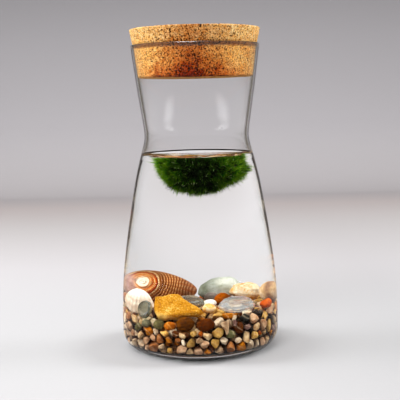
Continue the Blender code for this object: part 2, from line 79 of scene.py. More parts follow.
def ease(value, low, high):
    """0 below low, 1 above high and smooth between them; takes numbers and arrays."""
    share = np.clip((value - low) / (high - low), 0, 1)
    return share * share * (3 - 2 * share)


def unit(vectors):
    return vectors / np.linalg.norm(vectors, axis=1, keepdims=True)


def jar_radius(height):
    """Outer radius of the jar at a height between its foot corner and its rim."""
    points = JAR_OUTLINE
    for index in range(len(points) - 1):
        (z0, r0), (z1, r1) = points[index], points[index + 1]
        if z1 <= height <= z0:
            above = points[max(index - 1, 0)]
            below = points[min(index + 2, len(points) - 1)]
            slope0 = (above[1] - r1) / (above[0] - z1)
            slope1 = (r0 - below[1]) / (z0 - below[0])
            run = z1 - z0
            t = (height - z0) / run
            return ((2 * t**3 - 3 * t**2 + 1) * r0 + (t**3 - 2 * t**2 + t) * run * slope0
                    + (3 * t**2 - 2 * t**3) * r1 + (t**3 - t**2) * run * slope1)
    return points[-1][1]


def arc(middle, height, radius, start, end, steps):
    """Points on an arc about (middle, height), from one angle to another, in degrees above level."""
    return [(middle + radius * math.cos(a), height + radius * math.sin(a))
            for a in np.linspace(math.radians(start), math.radians(end), steps + 1)]


def inner_arc(overlap):
    """The jar's inside corner, from its floor outwards and up, let into the glass by an overlap."""
    middle = JAR_BODY_RADIUS - GLASS_WALL - INNER_CORNER
    return arc(middle, GLASS_BASE + INNER_CORNER, INNER_CORNER + overlap, -90, 0, 16)


def link_object(name, data):
    """A new object in the scene for a mesh, a light or a camera."""
    obj = bpy.data.objects.new(name, data)
    bpy.context.scene.collection.objects.link(obj)
    return obj


def mesh_object(name, points, faces):
    """A named, smoothly shaded mesh object of points and faces."""
    mesh = bpy.data.meshes.new(name)
    faces = faces.tolist() if isinstance(faces, np.ndarray) else faces
    mesh.from_pydata(np.asarray(points).tolist(), [], faces)
    mesh.update()
    mesh.shade_smooth()
    return link_object(name, mesh)


def set_attribute(obj, name, values):
    layer = obj.data.attributes.new(name, "FLOAT", "POINT")
    layer.data.foreach_set("value", np.asarray(values, dtype=np.float32))


def read_mesh(obj):
    """A mesh's points and smooth normals as arrays."""
    mesh = obj.data
    points, normals = np.empty(len(mesh.vertices) * 3), np.empty(len(mesh.vertices) * 3)
    mesh.vertices.foreach_get("co", points)
    mesh.vertices.foreach_get("normal", normals)
    return points.reshape(-1, 3), normals.reshape(-1, 3)


def write_points(obj, points):
    obj.data.vertices.foreach_set("co", np.asarray(points, dtype=np.float32).ravel())
    obj.data.update()


def noise_at(points, size, shift=0.0):
    """Smooth noise from about -1 to 1 at some points, for features of a size in metres."""
    move = Vector((shift, shift * 0.31, 0))
    return np.array([noise.noise(Vector(p) / size + move) for p in points])


def grid_faces(rows, columns, start=0, wrap=False, flip=False):
    """Faces of a grid of points kept row by row; the columns close into a ring when wrap is true."""
    faces = []
    for row in range(rows - 1):
        for column in range(columns if wrap else columns - 1):
            following = (column + 1) % columns
            a, b = start + row * columns + column, start + row * columns + following
            c, d = b + columns, a + columns
            faces.append((d, c, b, a) if flip else (a, b, c, d))
    return faces


def lathe(name, outline, segments):
    """Turns an outline of (radius, height) points, from axis to axis, about the Z axis."""
    rings = outline[1:-1]
    angles = np.arange(segments) * 2 * math.pi / segments
    points = [(0, 0, outline[0][1])]
    for radius, height in rings:
        points += [(radius * math.cos(a), radius * math.sin(a), height) for a in angles]
    points.append((0, 0, outline[-1][1]))
    last = len(points) - 1
    top = last - segments
    faces = grid_faces(len(rings), segments, start=1, wrap=True)
    for step in range(segments):
        following = (step + 1) % segments
        faces += [(0, 1 + following, 1 + step), (last, top + step, top + following)]
    return mesh_object(name, points, faces)


def linear(red, green, blue):
    """A colour seen on a screen, 0 to 255, as light."""
    shares = [value / 255 for value in (red, green, blue)]
    return tuple(c / 12.92 if c <= 10 / 255 else ((c + 0.055) / 1.055) ** 2.4 for c in shares)


class Nodes:
    """A node tree, built from short calls."""

    def __init__(self, tree):
        self.tree = tree

    def put(self, socket, value):
        """Links a socket's output, or sets a plain value."""
        if isinstance(value, bpy.types.NodeSocket):
            self.tree.links.new(value, socket)
        elif isinstance(value, tuple) and len(value) == 3 and len(socket.default_value) == 4:
            socket.default_value = (*value, 1)
        else:
            socket.default_value = value

    def add(self, kind, inputs=(), **settings):
        """A new node with its settings and its inputs, given by name or number."""
        made = self.tree.nodes.new(kind)
        for key, value in settings.items():
            setattr(made, key, value)
        for socket, value in dict(inputs).items():
            self.put(made.inputs[socket], value)
        return made

    def maths(self, operation, *values):
        """Some values taken together by one operation, from the first to the last."""
        total = values[0]
        for value in values[1:] or (0.0,):
            total = self.add("ShaderNodeMath", {0: total, 1: value}, operation=operation).outputs[0]
        return total

    def times(self, *values):
        return self.maths("MULTIPLY", *values)

    def plus(self, *values):
        return self.maths("ADD", *values)

    def spans(self, value, low, high, start=0.0, end=1.0, kind="LINEAR"):
        """Leads a value's stretch from low to high over to that from start to end."""
        inputs = dict(enumerate((value, low, high, start, end)))
        return self.add("ShaderNodeMapRange", inputs, interpolation_type=kind).outputs[0]


class Finish(Nodes):
    """One material's nodes."""

    def __init__(self, name):
        self.material = bpy.data.materials.new(name)
        self.material.use_nodes = True
        super().__init__(self.material.node_tree)
        self.shader = self.tree.nodes["Principled BSDF"]
        self.place = self.add("ShaderNodeTexCoord").outputs["Object"]

    def axis(self, letter):
        """One of the object's coordinates, in mm."""
        return self.times(self.add("ShaderNodeSeparateXYZ", {0: self.place}).outputs[letter], 1 / MM)

    def attribute(self, name):
        return self.add("ShaderNodeAttribute", attribute_name=name).outputs["Fac"]

    def noise(self, scale, detail=3.0, rough=0.55, output="Fac"):
        inputs = {"Vector": self.place, "Scale": scale, "Detail": detail, "Roughness": rough}
        return self.add("ShaderNodeTexNoise", inputs).outputs[output]

    def cells(self, scale, place, output="Distance", feature="F1"):
        inputs = {"Vector": place, "Scale": scale}
        return self.add("ShaderNodeTexVoronoi", inputs, feature=feature).outputs[output]

    def waves(self, scale, twist, turn, stretch=(1, 1, 1)):
        """Twisted bands across the object's coordinates, stretched and turned."""
        inputs = {"Vector": self.place, "Scale": stretch, "Rotation": turn}
        place = self.add("ShaderNodeMapping", inputs).outputs[0]
        inputs = {"Vector": place, "Scale": scale, "Distortion": twist, "Detail": 3.0}
        return self.add("ShaderNodeTexWave", inputs).outputs["Fac"]

    def varied(self, value, start, end):
        """Spreads the stretch that a noise mostly keeps to from start to end."""
        return self.spans(value, 0.3, 0.7, start, end)

    def ramp(self, value, stops, mode="LINEAR"):
        """Light or plain shares along a value: stops are (place, colour or share)."""
        made = self.add("ShaderNodeValToRGB", {0: value})
        made.color_ramp.interpolation = mode
        points = made.color_ramp.elements
        while len(points) < len(stops):
            points.new(0.5)
        for point, (place, colour) in zip(points, stops):
            point.position = place
            point.color = (*colour, 1) if isinstance(colour, tuple) else (colour, colour, colour, 1)
        return made.outputs["Color"]

    def tones(self, value, stops, mode="LINEAR"):
        """Screen colours along a value: stops are (place, tone)."""
        return self.ramp(value, [(place, linear(*tone)) for place, tone in stops], mode)

    def mix(self, share, first, second, mode="MIX"):
        inputs = {0: share, 6: first, 7: second}
        return self.add("ShaderNodeMix", inputs, data_type="RGBA", blend_type=mode).outputs[2]

    def over(self, colour, *layers):
        """Lays layers over a colour: each is (share, screen colour or socket) and perhaps a blend mode."""
        for share, tone, *mode in layers:
            colour = self.mix(share, colour, linear(*tone) if isinstance(tone, tuple) else tone, *mode)
        return colour

    def bump(self, height, depth_mm, strength):
        """Relief of a height from 0 to 1, as deep as depth_mm."""
        inputs = {"Height": height, "Distance": depth_mm * MM, "Strength": strength}
        return self.add("ShaderNodeBump", inputs).outputs[0]

    def surface(self, **values):
        """Sets or links the shader's own sockets: Base_Color stands for Base Color."""
        for key, value in values.items():
            self.put(self.shader.inputs[key.replace("_", " ")], value)
        return self.material

    def clear_shadow(self, tint):
        """Lets shadow rays pass straight through, tinted, so that light reaches what lies inside."""
        shadow = self.add("ShaderNodeLightPath").outputs["Is Shadow Ray"]
        through = self.add("ShaderNodeBsdfTransparent", {"Color": tint}).outputs[0]
        either = self.add("ShaderNodeMixShader", {0: shadow, 1: self.shader.outputs[0], 2: through})
        self.put(self.tree.nodes["Material Output"].inputs["Surface"], either.outputs[0])
        return self.material


def dress(obj, material, slot, *nodes):
    """Gives a piece its finish and its body, and hides the solids that it stands for; its slot is not used.
    """
    obj.data.materials.clear()
    obj.data.materials.append(material)
    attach(obj, BODY)
    if nodes:
        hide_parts(*nodes)


# Glass and water

GLASS_SEGMENTS = 160
FLOOR_RING = 20 * MM
FOOT_RING = 36 * MM
# Stops up the jar, as shares of its height: its index of refraction less 1, and how strongly it mirrors
GLASS_BEND = [(0.0, 0.5), (0.035, 0.5), (0.055, 0.14), (0.63, 0.14), (0.66, 0.45), (0.99, 0.45), (0.995, 0.5)]
GLASS_GLOSS = [(0.0, 0.6), (0.035, 0.6), (0.055, 0.5), (0.63, 0.5), (0.66, 0.3), (0.985, 0.3), (0.99, 1.0)]
# Painted colours where the glass is seen edge on: a golden reflection on the body and dark shade at the neck;
# and painted shade on the lip
PAINTED_BODY_EDGE = (0.88, 0.7, 0.4)
PAINTED_NECK_EDGE = (0.03, 0.022, 0.016)
PAINTED_LIP_SHADE = (0.3, 0.17, 0.08)
# The water's outside lies against glass, where it hardly shines
WATER_GLOSS = (0.2, 0.18, 0.14)
WATER_OVERLAP = 0.25 * MM
FLOOR_GAP = 0.1 * MM
MENISCUS_FALL = 1.7 * MM
# How far the meniscus's rings lie from the wall, in mm
MENISCUS_RINGS = (0.1, 0.25, 0.45, 0.7, 1.0, 1.4, 1.9, 2.5, 3.2, 4.1, 5.2, 6.6, 8.5, 11, 15, 20, 27)


def glass_finish():
    """Clear soda glass: faint waves and wiped patches, painted colour where it is seen edge on, a golden
    reflection on the body and dark shade at the neck, and a shining lip painted dark brown for shade.
    """
    f = Finish("clear_glass")
    wiped = f.noise(120.0)
    rise = f.spans(f.axis("Z"), 0.0, JAR_HEIGHT / MM)
    facing = f.add("ShaderNodeLayerWeight", {"Blend": 0.5}).outputs["Facing"]
    # Painted reflection and shade: the glass is tinted where it is seen edge on
    slant = f.times(f.spans(facing, 0.66, 0.82), f.spans(rise, 0.06, 0.14))
    painted_edge = f.mix(f.spans(rise, 0.6, 0.68), PAINTED_BODY_EDGE, PAINTED_NECK_EDGE)
    colour = f.mix(slant, f.mix(wiped, (0.996, 0.999, 0.997), (1.0, 1.0, 1.0)), painted_edge)
    lip = f.spans(rise, 0.984, 0.99, 0.0, 0.85)
    f.surface(
        Base_Color=f.mix(lip, colour, PAINTED_LIP_SHADE), Specular_Tint=f.ramp(rise, GLASS_GLOSS),
        Roughness=f.spans(wiped, 0.3, 0.8, 0.0, 0.008), IOR=f.plus(f.ramp(rise, GLASS_BEND), 1.0),
        Transmission_Weight=1.0, Coat_Weight=lip, Coat_IOR=1.9, Coat_Roughness=0.12,
        Normal=f.bump(f.noise(38.0, 2.0), 0.06, 0.35))
    return f.clear_shadow((0.985, 0.99, 0.987))


def water_finish():
    """Still fresh water with the faintest tint."""
    f = Finish("water")
    ripple = f.noise(60.0, 1.0)
    f.surface(
        Base_Color=f.mix(ripple, (0.999, 1.0, 0.998), (1.0, 1.0, 1.0)), Roughness=0.0, IOR=1.333,
        Specular_Tint=WATER_GLOSS, Transmission_Weight=1.0, Normal=f.bump(ripple, 0.02, 0.2))
    return f.clear_shadow((0.985, 0.99, 0.985))


def make_glass():
    """The jar, turned finely: outside, round lip, inside and thick floor."""
    lip = GLASS_WALL / 2
    steps = np.linspace(FOOT_CORNER, JAR_HEIGHT - lip, 120)[1:]
    foot = arc(JAR_BODY_RADIUS - FOOT_CORNER, FOOT_CORNER, FOOT_CORNER, -90, 0, 24)
    outer = [(0, 0), (FLOOR_RING, 0), (FOOT_RING, 0)] + foot + [(jar_radius(z), z) for z in steps]
    rim = arc(jar_radius(JAR_HEIGHT - lip) - lip, JAR_HEIGHT - lip, lip, 0, 180, 10)[1:-1]
    inner = [(jar_radius(z) - GLASS_WALL, z) for z in reversed(steps)]
    floor = inner_arc(0)[::-1] + [(FLOOR_RING, GLASS_BASE), (0, GLASS_BASE)]
    obj = lathe("jar_glass", outer + rim + inner + floor, GLASS_SEGMENTS)
    dress(obj, glass_finish(), "clear_glass", "glass_jar")


def make_water():
    """The water, from the jar's floor to its level, with the meniscus at the glass."""
    inset = GLASS_WALL - WATER_OVERLAP
    contact = WATER_LEVEL + MENISCUS_RISE
    corner = inner_arc(WATER_OVERLAP)
    floor = GLASS_BASE + FLOOR_GAP
    outline = [(0, floor), (FLOOR_RING, floor), (corner[0][0], floor)] + corner[2:]
    outline += [(jar_radius(z) - inset, z) for z in np.linspace(FOOT_CORNER, contact, 70)[1:]]
    wall = jar_radius(contact) - inset
    for away in MENISCUS_RINGS:
        rise = MENISCUS_RISE * math.exp(-away * MM / MENISCUS_FALL)
        outline.append((wall - away * MM, WATER_LEVEL + rise))
    outline.append((0, WATER_LEVEL))
    dress(lathe("jar_water", outline, GLASS_SEGMENTS), water_finish(), "water", "water")


# Cork

CORK_IOR = 1.12
CORK_SEGMENTS = 300
CORK_TEXTURE_STEP = 0.35 * MM
CORK_PIT = 0.3 * MM
CORK_GRAIN, CORK_CRUMB = 620.0, 1400.0
CORK_TONES = [(0.0, (196, 112, 40)), (0.14, (236, 170, 90)), (0.34, (255, 216, 142)), (0.6, (255, 234, 184)),
              (0.8, (244, 184, 104)), (1.0, (255, 246, 212))]


def cork_finish():
    """Pressed cork: grains of many browns and dark pits between them, with painted shade on its middle and
    low at the front, where the dark pits spread too.
    """
    f = Finish("cork")
    warped = f.mix(0.0012, f.place, f.noise(450.0, 2.0, output="Color"), "ADD")
    grain, crumb = (f.tones(f.cells(size, warped, "Color"), CORK_TONES) for size in (CORK_GRAIN, CORK_CRUMB))
    seam = f.cells(CORK_GRAIN, warped, feature="DISTANCE_TO_EDGE")
    blush = f.noise(75.0)
    specks = f.noise(1700.0, 2.0, 0.7)
    pits = f.noise(900.0, 3.0, 0.7)
    wander = f.varied(blush, -4.0, 4.0)
    side = f.plus(f.maths("ABSOLUTE", f.plus(f.axis("X"), 3.0)), wander)
    above_rim = f.plus(f.axis("Z"), wander, -JAR_HEIGHT / MM)
    front = f.spans(f.axis("Y"), -30.0, -15.0, 1.0, 0.1)
    # Painted shade: the cork is darker on its middle, which faces the camera away from the side lamps, and
    # low at the front; the dark pits spread wider there
    centre = f.times(f.spans(f.plus(side, f.varied(f.noise(260.0), -6.0, 6.0)), 0.0, 27.0, 1.0, 0.0), front)
    low_middle_shade = f.times(f.spans(side, 5.0, 18.0, 1.0, 0.0), f.spans(above_rim, -20.0, -7.0, 1.0, 0.0), front)
    spread = f.times(centre, f.spans(above_rim, -12.0, 4.0, 0.075, 0.035))
    pits_and_shade = f.ramp(f.maths("SUBTRACT", pits, spread), [(0.395, 1.0), (0.425, 0.0)])
    body = f.over(
        f.mix(0.45, grain, crumb), (f.spans(blush, 0.42, 0.62, 0.0, 0.22), (240, 164, 78)),
        (f.spans(seam, 0.0, 0.08, 0.6, 0.0), (128, 62, 16)),
        (f.ramp(specks, [(0.39, 0.95), (0.435, 0.0)]), (120, 54, 12)),
        # Darker below the rim; then painted shade on the cork's middle and its lower front
        (f.spans(above_rim, -2.0, 2.0, 0.8, 0.2), (255, 232, 190), "MULTIPLY"),
        (f.times(centre, f.spans(above_rim, -6.0, 4.0, 0.72, 0.6)), (202, 132, 34), "MULTIPLY"),
        (f.times(f.spans(above_rim, -22.0, -12.0, 0.75, 0.0), front), (226, 164, 100), "MULTIPLY"),
        (f.times(centre, f.spans(above_rim, -12.0, 1.0, 1.0, 0.0)), (218, 180, 110), "MULTIPLY"),
        (low_middle_shade, (236, 186, 120), "MULTIPLY"), (pits_and_shade, (48, 16, 2)))
    relief = f.mix(0.5, f.maths("SUBTRACT", 1.0, f.ramp(pits, [(0.385, 1.0), (0.42, 0.0)])), seam)
    return f.surface(Base_Color=body, Roughness=f.varied(specks, 0.7, 0.95), IOR=CORK_IOR,
                     Normal=f.bump(relief, 0.35, 0.8))


def make_cork():
    """The stopper, with open pits between its grains and a worn, softened edge."""
    inside = np.arange(CORK_BOTTOM + CORK_EDGE, JAR_HEIGHT - 1.2 * MM, CORK_TEXTURE_STEP * 2)
    side = [(jar_radius(z) - GLASS_WALL - FIT_GAP, z) for z in inside]
    swell = (JAR_TOP_RADIUS - GLASS_WALL + 0.2 * MM, JAR_HEIGHT + 0.9 * MM)
    shoulder = (CORK_TOP_RADIUS, CORK_TOP - CORK_EDGE)
    bulge = []
    for start, end, count in ((side[-1], swell, 4), (swell, shoulder, 14)):
        start, run = np.array(start), np.array(end) - np.array(start)
        bulge += [tuple(start + run * k / count) for k in range(1, count + 1)]
    edge = arc(CORK_TOP_RADIUS - CORK_EDGE, CORK_TOP - CORK_EDGE, CORK_EDGE, 0, 90, 4)[1:]
    top = [(r, CORK_TOP) for r in np.arange(edge[-1][0] - 1 * MM, 1 * MM, -1.1 * MM)] + [(0, CORK_TOP)]
    foot = side[0][0] - CORK_EDGE
    under = [(r, CORK_BOTTOM) for r in (0, *np.arange(2 * MM, foot, 2 * MM), foot)]
    obj = lathe("cork_grain", under + side + bulge + edge + top, CORK_SEGMENTS)
    points, normals = read_mesh(obj)
    pit = ease(-noise_at(points, 1.4 * MM), 0.28, 0.5) + ease(-noise_at(points, 3 * MM, 5.0), 0.4, 0.6)
    wave = noise_at(points, 11 * MM) * 0.12 * MM
    height = points[:, 2]
    inside_neck = (height < JAR_HEIGHT + 0.5 * MM) & (height > CORK_BOTTOM + CORK_EDGE)
    wave = np.where(inside_neck, np.minimum(wave, 0), wave)
    write_points(obj, points + normals * (wave - CORK_PIT * pit)[:, None])
    dress(obj, cork_finish(), "cork", "cork_stopper")


# Moss

MOSS_TUFTS = 1500
MOSS_FILAMENTS = 10000
MOSS_COAT = 4.2 * MM
MOSS_VOXEL = 0.9 * MM
TUFT_SPREAD = 1.2 * MM
FILAMENT_STEPS = (0.0, 0.4, 0.75, 1.0)
STRAY_SHARE, BRIGHT_SHARE, PALE_SHARE = 0.2, 0.08, 0.028
PALE_HUE = 1.4
FILAMENT_WIDTH, WIDTH_SPREAD = 0.11 * MM, 0.06 * MM
# Painted light: the moss's side and underside, its rim as the camera sees it, are coloured brighter and
# yellower than its middle, as if lit from behind, from one distance or slope to another
BACKLIT_SIDE = (5 * MM, 24 * MM)
BACKLIT_UNDERSIDE = (0.82, 0.98)


def moss_finish(name):
    """Filaments from near black at their roots, painted shade deep in the coat, to green at their tips; the
    hue paints light at the moss's rim, where the tips turn bright yellow-green.
    """
    f = Finish(name)
    tip, hue, patch = f.attribute("tip"), f.attribute("hue"), f.noise(160.0)
    root, middle, end = (f.mix(hue, linear(*dim_tone), linear(*bright_tone)) for dim_tone, bright_tone in (
        ((2, 6, 1), (8, 24, 3)), ((6, 18, 2), (46, 138, 6)), ((22, 56, 6), (196, 232, 48))))
    pale = f.times(f.spans(hue, 1.1, 1.3), f.spans(tip, 0.7, 0.9))
    colour = f.over(
        root, (f.spans(tip, 0.1, 0.6), middle), (f.spans(tip, 0.55, 1.0, 0.0, 0.9), end),
        (f.spans(patch, 0.35, 0.65, 0.0, 0.4), (150, 170, 110), "MULTIPLY"), (pale, (214, 226, 190)))
    return f.surface(Base_Color=colour, Roughness=f.varied(patch, 0.45, 0.7), IOR=WET_IOR)


def moss_body():
    """The moss solid, remeshed finely, drawn in by the depth of its coat and roughened."""
    obj = fine_copy("moss_ball", "moss_body", MOSS_VOXEL, 8)
    points, normals = read_mesh(obj)
    tuft = noise_at(points, 5.5 * MM) + 0.5 * noise_at(points, 2.4 * MM, 3.0)
    worn = 2 * MM * ease(normals @ np.array([-0.95, 0, -0.3]), 0.6, 0.95)
    points = points + normals * (0.8 * MM * tuft - MOSS_COAT - worn)[:, None]
    points[:, 2] = np.minimum(points[:, 2], WATER_LEVEL - 0.8 * MM)
    write_points(obj, points)
    # Painted shade: the body takes the filaments' near-black root colour
    set_attribute(obj, "tip", np.full(len(points), 0.02))
    set_attribute(obj, "hue", np.full(len(points), 0.2))
    return obj


def filament_mesh(name, starts, bends, ends, widths, hues, rng):
    """Tapered three-sided filaments along curves from their starts, past their bends, to their ends."""
    count = len(starts)
    first = unit(bends - starts)
    across = unit(np.cross(first, rng.normal(size=(count, 3))))
    other = np.cross(first, across)
    rings = FILAMENT_STEPS[:-1]
    tip = len(rings) * 3
    points = np.empty((count, tip + 1, 3))
    for ring, share in enumerate(rings):
        centre = starts * (1 - share) ** 2 + bends * 2 * share * (1 - share) + ends * share**2
        for corner in range(3):
            angle = corner * 2 * math.pi / 3
            spoke = across * math.cos(angle) + other * math.sin(angle)
            points[:, ring * 3 + corner] = centre + spoke * (widths * (1 - 0.6 * share))[:, None]
    points[:, tip] = ends
    points[:, :, 2] = np.minimum(points[:, :, 2], WATER_LEVEL + 0.5 * MM)
    pattern = [(0, 2, 1)]
    for corner in range(3):
        after = (corner + 1) % 3
        for low in range(0, tip - 3, 3):
            a, b = low + corner, low + after
            pattern += [(a, b, b + 3), (a, b + 3, a + 3)]
        pattern.append((tip - 3 + corner, tip - 3 + after, tip))
    faces = (np.arange(count)[:, None, None] * (tip + 1) + np.array(pattern)[None]).reshape(-1, 3)
    obj = mesh_object(name, points.reshape(-1, 3), faces)
    set_attribute(obj, "tip", np.tile(np.append(np.repeat(rings, 3), 1.0), count))
    set_attribute(obj, "hue", np.repeat(hues, tip + 1))
    return obj


def scatter(obj, count, rng):
    """Points spread evenly by area over a mesh's triangles, with smooth normals."""
    obj.data.calc_loop_triangles()
    triangles = np.array([t.vertices[:] for t in obj.data.loop_triangles])
    points, normals = read_mesh(obj)
    corners = points[triangles]
    sides = corners[:, 1] - corners[:, 0], corners[:, 2] - corners[:, 0]
    area = np.linalg.norm(np.cross(*sides), axis=1)
    chosen = rng.choice(len(triangles), count, p=area / area.sum())
    u, v = rng.random(count), rng.random(count)
    flip = u + v > 1
    u[flip], v[flip] = 1 - u[flip], 1 - v[flip]
    weights = np.stack([1 - u - v, u, v], axis=1)[:, :, None]
    return (corners[chosen] * weights).sum(axis=1), unit((normals[triangles[chosen]] * weights).sum(axis=1))


def moss_coat(name, body, rng):
    """One coat of filaments, drawn together into pointed tufts."""
    centres, normals = scatter(body, MOSS_TUFTS, rng)
    aims = unit(normals + rng.normal(size=normals.shape) * 0.35 + np.array([0, 0, 0.1]))
    afloat = centres[:, 2] > WATER_LEVEL - 2.5 * MM
    aims[afloat, 2] = 0.05
    aims[afloat, :2] += 0.4 * rng.normal(size=(afloat.sum(), 2))
    aims = unit(aims)
    swell = noise_at(centres, 6 * MM)
    reach = 3.9 + 1.2 * swell + 1.3 * rng.random(MOSS_TUFTS)
    reach += 1.4 * ease(swell, 0.3, 0.6) - 0.7 * normals[:, 2]
    # Painted light: tufts at the moss's side and underside take a brighter, yellower hue
    rim = ease(np.abs(centres[:, 0] - 1 * MM), *BACKLIT_SIDE)
    rim = np.maximum(rim, 0.7 * ease(-normals[:, 2], *BACKLIT_UNDERSIDE))
    tuft_hue = -0.08 + 0.88 * rim + 0.45 * noise_at(centres, 5 * MM, 4.0) + rng.normal(size=MOSS_TUFTS) * 0.14
    own = rng.integers(0, MOSS_TUFTS, MOSS_FILAMENTS)
    spread = rng.normal(size=(MOSS_FILAMENTS, 3)) * TUFT_SPREAD * 0.6
    spread -= normals[own] * (spread * normals[own]).sum(axis=1, keepdims=True)
    lengths = reach[own] * MM * rng.uniform(0.6, 1.08, MOSS_FILAMENTS)
    starts = centres[own] + spread - normals[own] * 0.4 * MM
    bends = starts + unit(normals[own] + 0.5 * aims[own]) * (lengths * 0.5)[:, None] + spread * 0.3
    ends = centres[own] + aims[own] * lengths[:, None] + spread * 0.5
    ends += rng.normal(size=ends.shape) * 0.45 * MM
    stray = rng.random(MOSS_FILAMENTS) < STRAY_SHARE
    ends[stray] += rng.normal(size=(stray.sum(), 3)) * 1.5 * MM
    widths = FILAMENT_WIDTH + WIDTH_SPREAD * rng.random(MOSS_FILAMENTS)
    hues = np.clip(tuft_hue[own] + rng.normal(size=MOSS_FILAMENTS) * 0.2, 0, 1)
    bright = rng.random(MOSS_FILAMENTS) < BRIGHT_SHARE
    hues[bright] = np.clip(hues[bright] * 1.5 + 0.1, 0, 1.1)
    widths[bright] *= 1.25
    pale = rng.random(MOSS_FILAMENTS) < PALE_SHARE
    hues[pale] = PALE_HUE
    widths[pale] *= 1.6
    return filament_mesh(name, starts, bends, ends, widths, hues, rng)


def make_moss():
    """The moss: a body coloured near black for painted shade, and two coats of filaments."""
    body = moss_body()
    rng = np.random.default_rng(7)
    for name in ("moss_filaments_low", "moss_filaments_high"):
        dress(moss_coat(name, body, rng), moss_finish(name), "moss", "moss_ball")
    dress(body, moss_finish("moss_body"), "moss", "moss_ball")


# Gravel

GRAIN_RADIUS = (1.8 * MM, 3.9 * MM)
CORE_RADIUS = (3.2 * MM, 4.4 * MM)
CORE_DEPTH = 11 * MM
SHOWN_DEPTH = 8.5 * MM
PIECE_GRAINS = 580
GRAVEL_FILL = 0.74
GRAVEL_STEPS = 160
# The share of an overlap that one step takes away, and how far the grains sink in it
GRAIN_PUSH = 0.36
GRAIN_SINK = 0.02 * MM
# How far grains stay off the bed's top, its floor and its sides, in shares of their radius
TOP_HOLD, FLOOR_HOLD, SIDE_HOLD = 0.72, 0.85, 0.9
GRAIN_SHAPE = (1.5, 1.16, 0.95)
GRAIN_CUTS = (8, 13)
CUT_REACH = (0.44, 0.74)
# How flat a cut presses what passes it
CUT_FLATNESS = 0.97
TOUCH_GAP = 0.16 * MM
GRAIN_RISE = 1.7 * MM
BED_LEVEL = 26 * MM
BED_RADIUS = 49 * MM
BED_TOP = 28 * MM
BED_REACH = 29 * MM
# The bed's share of a plain drum: its top slopes
BED_SHARE = 0.94
CEILING_RIM = 49.5 * MM
# Screen colours of the stones, and their shares at the left, the middle and the right of the front
GRAVEL_TONES = [
    (250, 224, 178), (238, 200, 164), (222, 196, 164), (252, 238, 212), (240, 200, 116), (218, 144, 32),
    (176, 92, 16), (112, 60, 12), (70, 38, 12), (216, 150, 92), (146, 116, 112), (92, 88, 86),
    (116, 116, 78), (58, 60, 56)]
LEFT_MIX = [9, 8, 5, 6, 4, 2, 1, 0.5, 0.2, 2, 0.4, 0.3, 0.6, 0.1]
MIDDLE_MIX = [5, 4, 3, 4, 4, 5, 4, 3, 1.2, 2.5, 0.5, 0.5, 0.7, 0.4]
RIGHT_MIX = [5, 3.5, 3, 4, 3, 3, 2.5, 1.5, 0.8, 1.5, 3, 2.5, 2.5, 1.5]


def inner_radius(z):
    """The jar's inside radius at some heights, its rounded foot corner included."""
    heights = np.linspace(FOOT_CORNER, 60 * MM, 60)
    wall = np.interp(z, heights, [jar_radius(h) - GLASS_WALL for h in heights])
    drop = np.clip(1 - (z - GLASS_BASE) / INNER_CORNER, 0, 1)
    return wall - INNER_CORNER * (1 - np.sqrt(1 - drop**2))


def keep_inside(points, limit):
    """Draws points in towards the jar's axis where they lie farther out than a limit."""
    reach = np.hypot(points[:, 0], points[:, 1])
    points[:, :2] *= np.minimum(1, limit / np.maximum(reach, 1e-6))[:, None]


def tree_of(obj):
    mesh = obj.data
    return BVHTree.FromPolygons([v.co for v in mesh.vertices], [tuple(p.vertices) for p in mesh.polygons])


def gravel_ceiling(stones):
    """A grid of how high the grains may reach: up to the bed's top, or to a stone's underside."""
    bed = tree_of(bpy.data.objects["gravel_bed"])
    trees = [tree_of(bpy.data.objects[name]) for name in stones]
    ticks = np.linspace(-52 * MM, 52 * MM, 105)
    grid = np.zeros((len(ticks), len(ticks)))
    down, up = Vector((0, 0, -1)), Vector((0, 0, 1))
    for i, x in enumerate(ticks):
        for j, y in enumerate(ticks):
            shrink = min(1.0, CEILING_RIM / max(math.hypot(x, y), 1e-6))
            spot = Vector((x * shrink, y * shrink, JAR_HEIGHT))
            hit = bed.ray_cast(spot, down)[0]
            level = hit.z if hit else BED_LEVEL
            limit = level + GRAIN_RISE
            for tree in trees:
                above = tree.ray_cast(Vector((spot.x, spot.y, level - 1 * MM)), up)[0]
                if above is not None:
                    limit = min(limit, above.z - 0.1 * MM)
            grid[i, j] = limit
    return ticks, grid


def ceiling_at(ceiling, points):
    """The ceiling over some points, blended between the grid's four nearest corners."""
    ticks, grid = ceiling
    step = ticks[1] - ticks[0]
    i, j = (np.clip((points[:, axis] - ticks[0]) / step, 0, len(ticks) - 1.001) for axis in (0, 1))
    i0, j0 = i.astype(int), j.astype(int)
    a, b = i - i0, j - j0
    return (grid[i0, j0] * (1 - a) * (1 - b) + grid[i0 + 1, j0] * a * (1 - b)
            + grid[i0, j0 + 1] * (1 - a) * b + grid[i0 + 1, j0 + 1] * a * b)


def depth_in_bed(ceiling, points):
    """How deep points lie in the bed, by whichever is nearer: the glass or the top."""
    inward = inner_radius(points[:, 2]) - np.hypot(points[:, 0], points[:, 1])
    return np.minimum(inward, ceiling_at(ceiling, points) - points[:, 2])


def close_pairs(centres, radii, slack, block=300):
    """Index pairs of balls that are nearly in touch, looked for block by block."""
    first, second = [], []
    for start in range(0, len(centres), block):
        rows = slice(start, start + block)
        gap = np.linalg.norm(centres[rows, None] - centres[None], axis=2) - radii[rows, None] - radii[None]
        i, j = np.nonzero(gap < slack)
        keep = i + start < j
        first.append(i[keep] + start)
        second.append(j[keep])
    return np.concatenate(first), np.concatenate(second)


